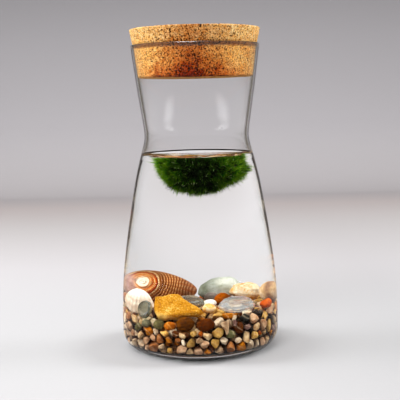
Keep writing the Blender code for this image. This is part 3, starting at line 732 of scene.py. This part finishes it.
def pack_grains(ceiling, rng):
    """Centres and radii of grains that fill the bed: balls pushed apart until they lie together."""
    low, high = GLASS_BASE, BED_REACH
    volume = math.pi * BED_RADIUS**2 * (high - low) * BED_SHARE
    centres, radii = [], []
    filled = 0.0
    while filled < GRAVEL_FILL * volume:
        x, y = rng.uniform(-50, 50, 2) * MM
        z = rng.uniform(low, high)
        if math.hypot(x, y) > BED_RADIUS:
            continue
        depth = min(float(inner_radius(z)) - math.hypot(x, y), BED_TOP - z)
        smallest, largest = CORE_RADIUS if depth > CORE_DEPTH else GRAIN_RADIUS
        radius = smallest + (largest - smallest) * rng.random() ** 1.3
        centres.append((x, y, z))
        radii.append(radius)
        filled += 4 / 3 * math.pi * radius**3
    centres, radii = np.array(centres), np.array(radii)
    for step in range(GRAVEL_STEPS):
        if step % 6 == 0:
            first, second = close_pairs(centres, radii, 1.2 * MM)
        apart = centres[second] - centres[first]
        distance = np.maximum(np.linalg.norm(apart, axis=1), 1e-6)
        overlap = radii[first] + radii[second] - distance
        push = apart / distance[:, None] * (np.maximum(overlap, 0) * GRAIN_PUSH)[:, None]
        np.add.at(centres, first, -push)
        np.add.at(centres, second, push)
        top = ceiling_at(ceiling, centres) - radii * TOP_HOLD
        centres[:, 2] = np.minimum(centres[:, 2] - GRAIN_SINK, top)
        centres[:, 2] = np.maximum(centres[:, 2], GLASS_BASE + radii * FLOOR_HOLD)
        sides = inner_radius(np.maximum(centres[:, 2] - radii * 0.45, GLASS_BASE + 0.1 * MM))
        keep_inside(centres, sides - radii * SIDE_HOLD)
    return centres, radii


def ball_pattern(subdivisions):
    bm = bmesh.new()
    bmesh.ops.create_icosphere(bm, subdivisions=subdivisions, radius=1)
    points = np.array([v.co[:] for v in bm.verts])
    faces = np.array([[v.index for v in f.verts] for f in bm.faces])
    bm.free()
    return points, faces


def flatten(points, normal, reach):
    """Presses points nearly flat where they pass a plane, given by its normal and its reach."""
    over = np.maximum(points @ normal - reach, 0)
    return points - np.outer(over * CUT_FLATNESS, normal)


def grain_points(pattern, radius, planes, rng):
    """One grain: a stretched ball with broken faces, pressed flat where it meets its neighbours."""
    turn = np.linalg.qr(rng.normal(size=(3, 3)))[0]
    half = radius * np.array(GRAIN_SHAPE) * rng.uniform(0.88, 1.14, 3)
    points = pattern * half
    for _ in range(rng.integers(*GRAIN_CUTS)):
        normal = rng.normal(size=3)
        normal /= np.linalg.norm(normal)
        points = flatten(points, normal, np.linalg.norm(normal * half) * rng.uniform(*CUT_REACH))
    points = points @ turn.T
    for normal, reach in planes:
        points = flatten(points, normal, reach)
    return points


def gravel_finish(name):
    """Mixed wet river grit: each grain takes one of many stone colours, with veins and specks, and painted
    shade deeper in the bed.
    """
    f = Finish(name)
    steps = len(GRAVEL_TONES)
    stops = [(index / steps, tone) for index, tone in enumerate(GRAVEL_TONES)]
    mottle = f.noise(380.0, 4.0, 0.6)
    veins = f.waves(60.0, 9.0, (0.4, 0.7, 0.2), (1.0, 0.5, 1.4))
    specks = f.noise(2300.0, 2.0, 0.7)
    colour = f.over(
        f.tones(f.attribute("kind"), stops, "CONSTANT"),
        (f.spans(mottle, 0.38, 0.62, 0.0, 0.6), (182, 132, 78), "MULTIPLY"),
        (f.ramp(veins, [(0.0, 0.3), (0.12, 0.0)]), (240, 220, 186)),
        (f.ramp(specks, [(0.33, 0.6), (0.42, 0.0)]), (58, 36, 18)),
        (f.ramp(specks, [(0.62, 0.0), (0.72, 0.35)]), (248, 236, 214)),
        (f.spans(f.attribute("shade"), 0.0, 1.0, 0.0, 0.6), (170, 150, 128), "MULTIPLY"),
        # Painted shade: grains darken with their depth in the bed, from the glass and from the top
        (f.times(f.attribute("depth"), 0.92), (100, 56, 20), "MULTIPLY"))
    return f.surface(Base_Color=colour, Roughness=f.varied(mottle, 0.3, 0.6), IOR=WET_IOR,
                     Normal=f.bump(f.mix(0.4, mottle, specks), 0.3, 0.7))


def grain_kind(centre, rng):
    """The index of a grain's colour, which leans to cream at the left and to grey at the right."""
    side = centre[0] / (48 * MM)
    left, right = max(0.0, -side * 1.3), max(0.0, side * 1.3)
    low = 0.6 * float(ease(16 * MM - centre[2], 0, 6 * MM))
    weights = (np.array(LEFT_MIX) * min(1, left + low) + np.array(RIGHT_MIX) * min(1, right)
               + np.array(MIDDLE_MIX) * max(0.15, 1 - left - right))
    return rng.choice(len(weights), p=weights / weights.sum())


def neighbour_planes(centres, radii):
    """For each grain, the planes between it and the grains that it touches."""
    planes = [[] for _ in radii]
    for pair in zip(*close_pairs(centres, radii, 1.6 * MM)):
        for own, other in (pair, pair[::-1]):
            toward = centres[other] - centres[own]
            distance = np.linalg.norm(toward)
            share = radii[own] / (radii[own] + radii[other])
            planes[own].append((toward / distance, distance * share - TOUCH_GAP))
    return planes


def make_gravel(stones):
    """The gravel, grain by grain, in three pieces, from what shows to what lies deep inside."""
    rng = np.random.default_rng(21)
    ceiling = gravel_ceiling(stones)
    centres, radii = pack_grains(ceiling, rng)
    planes = neighbour_planes(centres, radii)
    fine, coarse = ball_pattern(3), ball_pattern(2)
    depth = depth_in_bed(ceiling, centres)
    order = np.argsort(depth)
    half = min(int((depth < SHOWN_DEPTH).sum()) // 2, PIECE_GRAINS)
    groups = [("gravel_outer", order[:half], fine), ("gravel_middle", order[half:2 * half], fine),
              ("gravel_inner", order[2 * half:], coarse)]
    for name, members, (pattern, faces) in groups:
        points, marks = [], {"depth": [], "kind": [], "shade": []}
        for index in members:
            made = grain_points(pattern, radii[index], planes[index], rng) + centres[index]
            made[:, 2] = np.maximum(made[:, 2], GLASS_BASE + 0.3 * MM)
            keep_inside(made, inner_radius(made[:, 2]) - 0.35 * MM)
            made[:, 2] = np.minimum(made[:, 2], ceiling_at(ceiling, made) + 0.05 * MM)
            points.append(made)
            kind = (grain_kind(centres[index], rng) + 0.5) / len(GRAVEL_TONES)
            marks["kind"].append(np.full(len(made), kind))
            marks["shade"].append(np.full(len(made), rng.random()))
            # Depth in the bed, for the painted shade in the finish
            marks["depth"].append(ease(depth_in_bed(ceiling, made), 0.8 * MM, 5 * MM))
        polygons = np.concatenate([faces + grain * len(pattern) for grain in range(len(members))])
        obj = mesh_object(name, np.concatenate(points), polygons)
        obj.data.set_sharp_from_angle(angle=math.radians(30))
        for mark, values in marks.items():
            set_attribute(obj, mark, np.concatenate(values))
        dress(obj, gravel_finish(name), "gravel", "gravel_bed")


# Stones

def fine_copy(node, name, voxel, rounds):
    """A CAD node's solid as an even, fine mesh with its facets worn off."""
    copy = link_object(name, bpy.data.objects[node].data.copy())
    grid = copy.modifiers.new("grid", "REMESH")
    grid.mode = "VOXEL"
    grid.voxel_size = voxel
    mesh = bpy.data.meshes.new_from_object(copy.evaluated_get(bpy.context.evaluated_depsgraph_get()))
    bpy.data.objects.remove(copy)
    points = np.array([v.co[:] for v in mesh.vertices])
    edges = np.array([e.vertices[:] for e in mesh.edges])
    links = np.bincount(edges.ravel(), minlength=len(points))[:, None]
    for step in range(rounds * 2):
        total = np.zeros_like(points)
        np.add.at(total, edges[:, 0], points[edges[:, 1]])
        np.add.at(total, edges[:, 1], points[edges[:, 0]])
        points += (0.6, -0.62)[step % 2] * (total / links - points)
    mesh.shade_smooth()
    obj = link_object(name, mesh)
    write_points(obj, points)
    return obj


def wear(obj, lumps, grit, seed):
    """Uneven lumps and fine grit, in metres, pushed along a stone's normals."""
    points, normals = read_mesh(obj)
    push = noise_at(points, 5 * MM, seed * 7.0) * lumps + noise_at(points, 0.9 * MM, seed) * grit
    write_points(obj, points + normals * push[:, None])


def stone_finish(name, tones, patch=120.0, grain=0.35, spread=0.2, vein=None, vein_share=0.4, speck=None,
                 speck_share=0.5, speck_size=1600.0, rough=(0.3, 0.55), relief=0.15, layers=None, turns=None):
    """A stone: tones by patches and grains, perhaps layers, veins, a turn of tone to one side, and specks."""
    f = Finish(name)
    broad = f.noise(patch, 5.0, 0.6)
    fine = f.noise(patch * 9, 3.0, 0.6)
    grit = f.noise(speck_size, 2.0, 0.7)
    level = f.mix(grain, broad, fine)
    if layers:
        share, *bands = layers
        level = f.mix(share, level, f.waves(*bands))
    colour = f.tones(level, [(0.5 - spread + 2 * spread * k / (len(tones) - 1), tone)
                             for k, tone in enumerate(tones)])
    if vein:
        lines = f.waves(patch * 0.35, 14.0, (0.5, 0.3, 0.9), (1, 0.6, 1.2))
        colour = f.over(colour, (f.ramp(lines, [(0.0, vein_share), (0.1, 0.0)]), vein))
    if turns:
        across, up, start, end, tone = turns
        low, high = (Vector(corner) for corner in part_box(name))
        middle, half = (low + high) / 2, (high - low) / 2
        slope = Vector((across / half.x, 0, up / half.z))
        dot = f.add("ShaderNodeVectorMath", {0: f.place, 1: tuple(slope)}, operation="DOT_PRODUCT")
        side = f.plus(dot.outputs["Value"], f.varied(broad, -0.2, 0.2))
        shift = slope.dot(middle)
        turned = f.spans(side, shift + start, shift + end)
        colour = f.mix(turned, colour, f.mix(0.35, linear(*tone), colour))
    if speck:
        colour = f.over(colour, (f.ramp(grit, [(0.34, speck_share), (0.4, 0.0)]), speck))
    return f.surface(Base_Color=colour, Roughness=f.varied(fine, *rough), IOR=WET_IOR,
                     Normal=f.bump(f.mix(0.5, fine, grit), relief, 0.7))


# Each stone: its slot, its voxel, lumps and grit in mm, and the looks that its finish takes
STONES = {
    "green_pebble": ("grey_green_stone", 0.4, 0.5, 0.02, dict(
        tones=[(160, 164, 140), (194, 198, 184), (215, 219, 210), (232, 233, 226)], patch=60.0,
        vein=(236, 236, 226), vein_share=0.5, layers=(0.14, 60.0, 5.0, (0.2, 0.9, 0.9)), speck=(96, 98, 66),
        turns=(-0.85, 0.3, 0.0, 0.55, (52, 58, 18)))),
    "small_grey_pebble": ("grey_stone", 0.3, 0.3, 0.02, dict(
        tones=[(92, 84, 80), (128, 118, 110), (160, 150, 140)], vein=(198, 190, 180), speck=(60, 54, 50))),
    "red_brown_stone": ("red_brown_stone", 0.3, 0.5, 0.05, dict(
        tones=[(96, 44, 4), (150, 76, 8), (196, 108, 20), (230, 146, 44)], patch=90.0, speck=(60, 20, 4),
        turns=(0.9, -0.5, -0.5, 0.2, (44, 12, 2)))),
    "cream_rock": ("cream_stone", 0.32, 1.4, 0.2, dict(
        tones=[(206, 150, 82), (232, 206, 164), (242, 228, 202), (248, 240, 224)], patch=110.0, grain=0.5,
        spread=0.14, vein=(226, 164, 60), vein_share=0.6, speck=(206, 150, 66), rough=(0.5, 0.75),
        relief=0.3, turns=(0.0, -1.0, 0.1, 0.6, (226, 150, 44)))),
    "striped_pebble": ("striped_stone", 0.35, 0.4, 0.02, dict(
        tones=[(112, 86, 76), (170, 130, 98), (216, 180, 134), (240, 218, 186)], patch=80.0,
        layers=(0.22, 34.0, 4.0, (0.0, 0.1, 0.3)), vein=(206, 150, 84), vein_share=0.3, speck=(110, 84, 70),
        turns=(0.2, -0.9, -0.1, 0.8, (122, 98, 94)))),
    "orange_stone": ("orange_stone", 0.3, 0.5, 0.05, dict(
        tones=[(120, 44, 8), (178, 72, 14), (212, 98, 26), (228, 132, 54)], grain=0.5, speck=(90, 34, 16))),
    "white_pebble": ("white_stone", 0.3, 0.3, 0.02, dict(
        tones=[(216, 208, 196), (244, 238, 228), (254, 252, 248)], speck=(180, 170, 156),
        vein=(224, 214, 200))),
    "peach_pebble": ("peach_stone", 0.3, 0.4, 0.03, dict(
        tones=[(214, 142, 56), (244, 196, 120), (254, 232, 184)], patch=160.0, vein=(252, 240, 210),
        vein_share=0.6, spread=0.14, speck=(176, 112, 60))),
    "olive_pebble": ("olive_stone", 0.28, 0.3, 0.02, dict(
        tones=[(66, 60, 36), (100, 92, 58), (136, 126, 88)], grain=0.5, vein=(140, 130, 90),
        speck=(44, 40, 24))),
    "dark_green_pebble": ("dark_green_stone", 0.28, 0.3, 0.02, dict(
        tones=[(68, 66, 50), (104, 100, 78), (142, 136, 108)], grain=0.5, vein=(156, 150, 120),
        speck=(38, 38, 30))),
    "rust_pebble": ("rust_stone", 0.28, 0.3, 0.03, dict(
        tones=[(120, 56, 8), (178, 98, 20), (216, 142, 46)], grain=0.5, vein=(238, 180, 90),
        speck=(90, 42, 8))),
    "brown_pebble_left": ("brown_stone", 0.3, 0.35, 0.03, dict(
        tones=[(42, 18, 2), (88, 46, 4), (140, 84, 14)], grain=0.6, spread=0.14, vein=(138, 84, 22),
        speck=(40, 20, 4))),
    "brown_pebble_right": ("brown_stone", 0.3, 0.35, 0.03, dict(
        tones=[(42, 16, 2), (82, 36, 4), (126, 66, 10)], grain=0.6, spread=0.14, vein=(136, 78, 20),
        speck=(38, 18, 4))),
    "yellow_stone": ("yellow_stone", 0.3, 0.7, 0.16, dict(
        tones=[(166, 102, 14), (196, 134, 32), (212, 156, 54), (232, 196, 116)], patch=130.0, grain=0.62,
        spread=0.12, speck=(104, 92, 24), speck_share=0.35, rough=(0.55, 0.8), relief=0.34, speck_size=900.0,
        turns=(-0.55, -0.8, 0.55, 0.9, (252, 216, 132))))}

# Each glass nugget: its slot, tint, share of clear glass and strength of its coat
NUGGETS = {
    "glass_nugget_left": ("green_nugget", (0.5, 0.53, 0.45), 0.93, 2.4),
    "glass_nugget_middle": ("green_nugget", (0.8, 0.82, 0.74), 0.94, 2.2),
    "glass_nugget_right": ("clear_nugget", (0.97, 0.98, 0.96), 0.87, 2.6)}


def make_stones():
    """Every loose stone from its solid, worn finely, with its own finish."""
    for index, (node, (slot, voxel, lumps, grit, looks)) in enumerate(STONES.items()):
        obj = fine_copy(node, node + "_worn", voxel * MM, 26 if "pebble" in node else 12)
        wear(obj, lumps * MM, grit * MM, index)
        dress(obj, stone_finish(node, **looks), slot, node)


def nugget_finish(name, tint, clearness, gloss):
    """Cast glass: clear or green, with a faint inner haze and fine waves."""
    f = Finish(name)
    haze = f.noise(170.0)
    f.surface(Base_Color=f.mix(haze, tint, tuple(min(1.0, c * 1.06) for c in tint)),
              Roughness=f.varied(haze, 0.0, 0.05), IOR=1.5, Transmission_Weight=clearness, Coat_Weight=1.0,
              Coat_IOR=gloss, Coat_Roughness=0.04, Normal=f.bump(f.noise(90.0, 2.0), 0.25, 0.4))
    return f.clear_shadow(tint)


def make_nuggets():
    for node, (slot, *looks) in NUGGETS.items():
        dress(fine_copy(node, node + "_cast", 0.35 * MM, 40), nugget_finish(node, *looks), slot, node)


# Shells

SHELL_HALF_LENGTH = 17.5 * MM
SHELL_HALF_WIDTH = 10.8 * MM
SHELL_DOME = 10.5 * MM
SHELL_MOUTH_DEPTH = 4.5 * MM
SHELL_LIP = 1.4 * MM
# The distance attribute's value on the mouth side, beyond any that the front reaches
SHELL_BACK = 3.0
SHELL_APEX = (-0.42, 0.02)
SHELL_WHORL_GROWTH = 2.6
SHELL_WHORL_START = 0.045
SHELL_SUTURE_DEPTH = 1.3 * MM
SHELL_RIB_HEIGHT = 0.3 * MM
SHELL_RIB_SPACING = 1.25 * MM
SHELL_CORDS = 44
SHELL_SEGMENTS = 240
SHELL_TURN = (62, 4, -16)
SHELL_MARKS = ("distance", "share", "rib", "cord")
# Screen colours by distance from the apex, in half lengths
SHELL_RINGS = [
    (0.0, (255, 246, 228)), (0.19, (252, 236, 206)), (0.215, (196, 104, 30)), (0.245, (244, 196, 132)),
    (0.3, (208, 104, 26)), (0.35, (240, 190, 120)), (0.4, (190, 76, 14)), (0.45, (104, 30, 6)),
    (0.475, (244, 214, 160)), (0.52, (152, 94, 40)), (0.58, (112, 66, 26)), (0.72, (170, 116, 58)),
    (0.95, (160, 112, 68)), (1.2, (134, 92, 66)), (1.5, (146, 108, 88))]
VALVE_WIDTH = 23 * MM
VALVE_HEIGHT = 17.6 * MM
VALVE_DOME = 6.5 * MM
VALVE_THICKNESS = 1.3 * MM
VALVE_SPREAD = math.radians(78)
VALVE_BLUNT = 0.55
VALVE_RIBS = 9
VALVE_RIB_HEIGHT = 0.3 * MM
VALVE_COLUMNS, VALVE_ROWS = 109, 60
VALVE_TURN = (50, 6, -30)
VALVE_TONES = [
    (0.1, (246, 242, 234)), (0.42, (244, 238, 226)), (0.56, (234, 222, 204)), (0.66, (216, 192, 170)),
    (0.74, (240, 228, 210)), (0.87, (208, 182, 158)), (1.0, (232, 216, 196))]


def shell_point(rim_share, angle, front):
    """A point of the ear-like shell, with its distance from the apex, share of a whorl, rib and cord."""
    x = rim_share * math.cos(angle) * (1 + 0.06 * math.cos(angle))
    y = rim_share * math.sin(angle) * (1 - 0.24 * math.cos(angle))
    across, along = x - SHELL_APEX[0], (y - SHELL_APEX[1]) * SHELL_HALF_WIDTH / SHELL_HALF_LENGTH
    distance = math.hypot(across, along) if front else SHELL_BACK
    turn = math.atan2(along, across)
    wobble = 0.25 * noise.noise(Vector((x * 4, y * 4, 0)))
    rib = math.cos(2 * math.pi * (distance * SHELL_HALF_LENGTH / SHELL_RIB_SPACING + wobble))
    cord = math.cos(turn * SHELL_CORDS)
    if front:
        whorl = math.log(max(distance, SHELL_WHORL_START) / SHELL_WHORL_START) / math.log(SHELL_WHORL_GROWTH)
        share = (whorl - turn / (2 * math.pi)) % 1
        near_apex = 1 - float(ease(distance, 0.42, 0.62))
        relief = (1 - near_apex) * (SHELL_RIB_HEIGHT * rib + 0.06 * MM * cord)
        relief += 0.1 * MM * near_apex * math.cos(turn * 30) * float(ease(distance, 0.1, 0.3))
        relief -= SHELL_SUTURE_DEPTH * near_apex * (1 - math.sqrt(math.sin(math.pi * share)))
        dome = SHELL_DOME * max(0.0, 1 - rim_share**2.4) ** 0.6
        height = dome + relief * (1 - rim_share**6)
    else:
        share = 0.5
        height = SHELL_MOUTH_DEPTH * (1 - rim_share**4) - SHELL_LIP
    place = (x * SHELL_HALF_LENGTH, y * SHELL_HALF_WIDTH, height)
    return place, distance, share, 0.5 + 0.5 * rib, 0.5 + 0.5 * cord


def make_shell(name, points, faces, marks, turn, finish):
    """A shell made at the origin, turned and laid where its solid lies, by the middle of their boxes."""
    obj = mesh_object(name + "_ribbed", points, faces)
    bm = bmesh.new()
    bm.from_mesh(obj.data)
    bmesh.ops.recalc_face_normals(bm, faces=bm.faces)
    bm.to_mesh(obj.data)
    bm.free()
    for mark, values in marks.items():
        set_attribute(obj, mark, values)
    matrix = Euler([math.radians(angle) for angle in turn]).to_matrix()
    turned = read_mesh(obj)[0] @ np.array(matrix).T
    middle = (turned.min(axis=0) + turned.max(axis=0)) / 2
    write_points(obj, turned + np.mean(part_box(name), axis=0) - middle)
    dress(obj, finish, name, name)


def snail_finish():
    """A worn sea snail: cream apex in a thin spiral, rust whorls, brown and cream ribs, mauve far end."""
    f = Finish("snail_shell")
    distance, share, rib, cord = (f.attribute(mark) for mark in SHELL_MARKS)
    blotch = f.noise(230.0, 4.0, 0.65)
    fine = f.noise(1100.0, 3.0, 0.6)
    uneven = f.plus(distance, f.spans(blotch, 0.25, 0.75, -0.035, 0.035))
    last = SHELL_RINGS[-1][0]
    rings = f.tones(f.spans(uneven, 0.0, last), [(place / last, tone) for place, tone in SHELL_RINGS])
    stripes = f.tones(f.mix(f.varied(blotch, 0.15, 0.5), rib, fine),
                      [(0.22, (104, 58, 24)), (0.45, (190, 134, 74)), (0.7, (250, 222, 170))])
    ribbed = f.times(f.spans(distance, 0.5, 0.62), f.spans(distance, 0.95, 1.25, 0.75, 0.3))
    seam = f.times(f.ramp(share, [(0.0, 1.0), (0.09, 0.0), (0.95, 0.0), (1.0, 1.0)]),
                   f.spans(distance, 0.3, 0.42, 0.8, 0.0))
    streak = f.times(f.ramp(f.plus(cord, f.varied(fine, -0.3, 0.3)), [(0.2, 0.45), (0.5, 0.0)]),
                     f.spans(distance, 0.2, 0.26))
    far_end = f.spans(f.plus(f.axis("X"), f.varied(blotch, -1.0, 1.0)), -32.5, -29.5, 0.85, 0.0)
    mauve = f.mix(blotch, linear(168, 134, 128), linear(200, 170, 160))
    pearl = f.mix(blotch, linear(222, 204, 192), linear(240, 230, 220))
    colour = f.over(
        rings, (ribbed, stripes, "OVERLAY"), (f.times(ribbed, 0.45), stripes),
        (f.times(ribbed, f.varied(cord, 0.22, 0.0)), (96, 54, 24)), (seam, (176, 84, 30)),
        (streak, (150, 70, 26)), (far_end, mauve),
        (f.spans(f.axis("Z"), 45.5, 49.2, 0.0, 0.65), (120, 84, 56)),
        (f.spans(blotch, 0.36, 0.6, 0.4, 0.0), (112, 58, 30)),
        (f.spans(distance, last + 0.2, SHELL_BACK - 0.2), pearl))
    return f.surface(Base_Color=colour, Roughness=f.varied(fine, 0.28, 0.5), IOR=WET_IOR,
                     Normal=f.bump(f.mix(0.5, fine, blotch), 0.16, 0.6))


def make_snail_shell():
    rings = [(share, True) for share in np.linspace(0.02, 1.0, 84).tolist()]
    rings += [(share, False) for share in np.linspace(0.985, 0.05, 22).tolist()]
    angles = [2 * math.pi * step / SHELL_SEGMENTS for step in range(SHELL_SEGMENTS)]
    points, *marks = zip(*(shell_point(share, angle, front) for share, front in rings for angle in angles))
    faces = grid_faces(len(rings), SHELL_SEGMENTS, wrap=True)
    last = (len(rings) - 1) * SHELL_SEGMENTS
    faces += [tuple(reversed(range(SHELL_SEGMENTS))), tuple(range(last, last + SHELL_SEGMENTS))]
    make_shell("snail_shell", points, faces, dict(zip(SHELL_MARKS, marks)), SHELL_TURN, snail_finish())


def valve_point(across, along, outside):
    """A point of the ribbed valve: across -1 to 1, along 0 at the hinge to 1 at the rim."""
    spread = VALVE_SPREAD * across
    reach = VALVE_HEIGHT * along * (1 - 0.28 * across * across)
    x = VALVE_WIDTH / 2 * math.sin(spread) * along**VALVE_BLUNT / math.sin(VALVE_SPREAD)
    y = reach * math.cos(spread * 0.55)
    arch = math.sin(math.pi * min(1.0, 0.12 + 0.88 * along)) ** 0.8
    height = VALVE_DOME * arch * (1 - 0.75 * across * across)
    if outside:
        wobble = 0.2 * noise.noise(Vector((across * 3, along * 3, 0)))
        height += VALVE_THICKNESS + VALVE_RIB_HEIGHT * math.cos(math.pi * VALVE_RIBS * across) * along
        height += 0.09 * MM * math.cos(2 * math.pi * (9 * along**1.6 + wobble))
    return Vector((-x, VALVE_HEIGHT / 2 - y, height))


def valve_finish():
    """A bleached cockle: chalky white at its hinge, with pink and tan growth bands towards the rim."""
    f = Finish("white_shell")
    fine = f.noise(700.0, 3.0, 0.6)
    shifted = f.plus(f.attribute("along"), f.varied(f.noise(160.0), -0.08, 0.08))
    colour = f.over(
        f.tones(shifted, VALVE_TONES), (f.spans(f.attribute("rib"), 0.0, 0.5, 0.28, 0.0), (214, 186, 156)),
        (f.spans(fine, 0.35, 0.65, 0.15, 0.0), (220, 198, 170)))
    return f.surface(Base_Color=colour, Roughness=f.varied(fine, 0.4, 0.6), IOR=WET_IOR,
                     Normal=f.bump(fine, 0.12, 0.5))


def make_valve():
    rows, columns = VALVE_ROWS, VALVE_COLUMNS
    spots = [(2 * column / (columns - 1) - 1, 0.1 + 0.9 * row / (rows - 1))
             for row in range(rows) for column in range(columns)]
    points = [valve_point(across, along, outside) for outside in (True, False) for across, along in spots]
    sheet = len(spots)
    faces = grid_faces(rows, columns) + grid_faces(rows, columns, sheet, flip=True)
    border = list(range(columns)) + [row * columns + columns - 1 for row in range(1, rows)]
    border += [(rows - 1) * columns + column for column in range(columns - 2, -1, -1)]
    border += [row * columns for row in range(rows - 2, 0, -1)]
    faces += [(b, a, a + sheet, b + sheet) for a, b in zip(border, border[1:] + border[:1])]
    ribs = [0.5 + 0.5 * math.cos(math.pi * VALVE_RIBS * across) for across, _ in spots]
    marks = {"along": [along for _, along in spots] * 2, "rib": ribs * 2}
    make_shell("white_shell", points, faces, marks, VALVE_TURN, valve_finish())


# Stage, lights and camera

FLOOR_FRONT = -1.5
WALL_PLACE = 1.1
WALL_TOP = 2.0
SWEEP_RADIUS = 0.12
SWEEP_SIDES = (-1.5, -0.7, 0.7, 1.5)
AIR_GAP = 0.25 * MM
# The paper's tone along the sweep, with light and shade painted in, darkest high up the wall: metres from the
# jar's middle towards the wall, and on up it, and the tone
STAGE_TONES = [(-1.5, (0.475, 0.474, 0.483)), (-0.2, (0.482, 0.482, 0.497)), (0.0, (0.481, 0.48, 0.495)),
               (0.12, (0.493, 0.492, 0.508)), (0.3, (0.532, 0.52, 0.539)), (0.62, (0.529, 0.509, 0.517)),
               (0.85, (0.535, 0.489, 0.491)), (1.0, (0.473, 0.453, 0.47)), (1.17, (0.475, 0.466, 0.492)),
               (1.32, (0.366, 0.358, 0.379)), (1.47, (0.234, 0.23, 0.242)), (1.8, (0.201, 0.193, 0.202)),
               (3.2, (0.147, 0.147, 0.147))]
# The soft shade on the right of the floor, in mm: where it sets in, and where it fades backwards
SHADE_PLACES = (20.0, 160.0)
SHADE_NEAR = (200.0, 700.0)
SHADE_DEPTH = 0.12
ROOM_LIGHT = 0.26
# Where a card's light starts to fade and where it ends, in card lengths from its middle
CARD_FADE = (0.05, 0.5)


def paper_finish():
    """Matt paper, toned along the sweep with painted light and shade, darkest high up the wall, and with a
    soft painted shade on the right.
    """
    f = Finish("studio_paper")
    first, last = STAGE_TONES[0][0], STAGE_TONES[-1][0]
    stops = [((place - first) / (last - first), tone) for place, tone in STAGE_TONES]
    tone = f.ramp(f.spans(f.attribute("along"), first, last), stops)
    shade = f.times(f.spans(f.axis("X"), *SHADE_PLACES, 0.0, SHADE_DEPTH),
                    f.spans(f.axis("Y"), *SHADE_NEAR, 1.0, 0.0))
    tone = f.mix(shade, tone, (0.0, 0.0, 0.0))
    grain = f.noise(400.0, 2.0)
    return f.surface(Base_Color=f.mix(0.02, tone, grain), Roughness=0.8, Specular_IOR_Level=0.2,
                     Normal=f.bump(grain, 0.05, 0.1))


def make_stage():
    """A pale floor that sweeps up to a grey wall behind."""
    start = WALL_PLACE - SWEEP_RADIUS
    profile = [(y, 0.0) for y in np.linspace(FLOOR_FRONT, start, 40)]
    profile += arc(start, SWEEP_RADIUS, SWEEP_RADIUS, -90, 0, 15)[1:]
    profile += [(WALL_PLACE, z) for z in np.linspace(SWEEP_RADIUS, WALL_TOP, 40)[1:]]
    along = [FLOOR_FRONT]
    for (y0, z0), (y1, z1) in zip(profile, profile[1:]):
        along.append(along[-1] + math.hypot(y1 - y0, z1 - z0))
    columns = len(SWEEP_SIDES)
    points = [(x, y, z - AIR_GAP) for y, z in profile for x in SWEEP_SIDES]
    faces = [face for face in grid_faces(len(profile), columns)
             if face[0] % columns == 1 or points[face[2]][2] < 1 * MM - AIR_GAP]
    sweep = mesh_object("studio_sweep", points, faces)
    set_attribute(sweep, "along", np.repeat(along, columns))
    sweep.data.materials.append(paper_finish())


def soft_light(name, place, size, watts, target=(0, 0, 0.1), fades=False, mirrored=True):
    """A soft box, which shines straight through glass and shows in it only as a reflection."""
    data = bpy.data.lights.new(name, "AREA")
    data.shape = "RECTANGLE"
    data.size, data.size_y = size
    data.energy = watts
    if fades:
        data.use_nodes = True
        nodes = Nodes(data.node_tree)
        spot = nodes.add("ShaderNodeNewGeometry").outputs["Parametric"]
        away = nodes.add("ShaderNodeVectorMath", {0: spot, 1: (0.5, 0.5, 0)}, operation="DISTANCE")
        fade = nodes.spans(away.outputs["Value"], *CARD_FADE, 1.0, 0.0, "SMOOTHSTEP")
        nodes.put(nodes.tree.nodes["Emission"].inputs["Strength"], fade)
    obj = link_object(name, data)
    obj.location = place
    obj.rotation_euler = (Vector(target) - Vector(place)).to_track_quat("-Z", "Y").to_euler()
    obj.visible_transmission = False
    obj.visible_glossy = mirrored


def add_lights():
    """Soft boxes overhead and at both sides, two low cards that the neck mirrors, and a dim room."""
    soft_light("top_box", (-0.15, -0.05, 1.2), (0.9, 0.8), 4.4, target=(0, 0, 0))
    soft_light("left_box", (-0.95, 0.05, 0.72), (0.5, 0.6), 9, mirrored=False)
    soft_light("right_box", (0.95, 0.12, 0.72), (0.4, 0.5), 8.4, mirrored=False)
    soft_light("front_box", (-0.25, -0.8, 1.05), (0.6, 0.5), 7.6)
    soft_light("left_card", (-0.4, -0.26, 0.034), (0.34, 0.045), 0.44, (-0.02, -0.03, 0.158), fades=True)
    soft_light("right_card", (0.39, -0.27, 0.034), (0.4, 0.045), 0.56, (0.02, -0.03, 0.158), fades=True)
    world = bpy.data.worlds.new("room")
    bpy.context.scene.world = world
    world.use_nodes = True
    shade = world.node_tree.nodes["Background"]
    shade.inputs["Color"].default_value = (1.0, 0.93, 0.82, 1)
    shade.inputs["Strength"].default_value = ROOM_LIGHT


def add_camera():
    data = bpy.data.cameras.new("camera")
    data.sensor_width = SENSOR_MM
    data.lens = FOCAL_PIXELS / IMAGE_SIDE * SENSOR_MM
    data.clip_start = 0.01
    obj = link_object("camera", data)
    pitch = Matrix.Rotation(math.radians(90 - CAMERA_PITCH), 4, "X")
    roll = Matrix.Rotation(math.radians(-CAMERA_ROLL), 4, "Z")
    obj.matrix_world = Matrix.Translation(CAMERA_PLACE) @ pitch @ roll
    bpy.context.scene.camera = obj


add_camera()
add_lights()
make_stage()
make_glass()
make_water()
make_cork()
make_moss()
make_gravel([*STONES, *NUGGETS, "snail_shell", "white_shell"])
make_stones()
make_nuggets()
make_snail_shell()
make_valve()
bpy.context.scene.view_settings.view_transform = "Standard"
bpy.context.scene.view_settings.look = "Medium High Contrast"
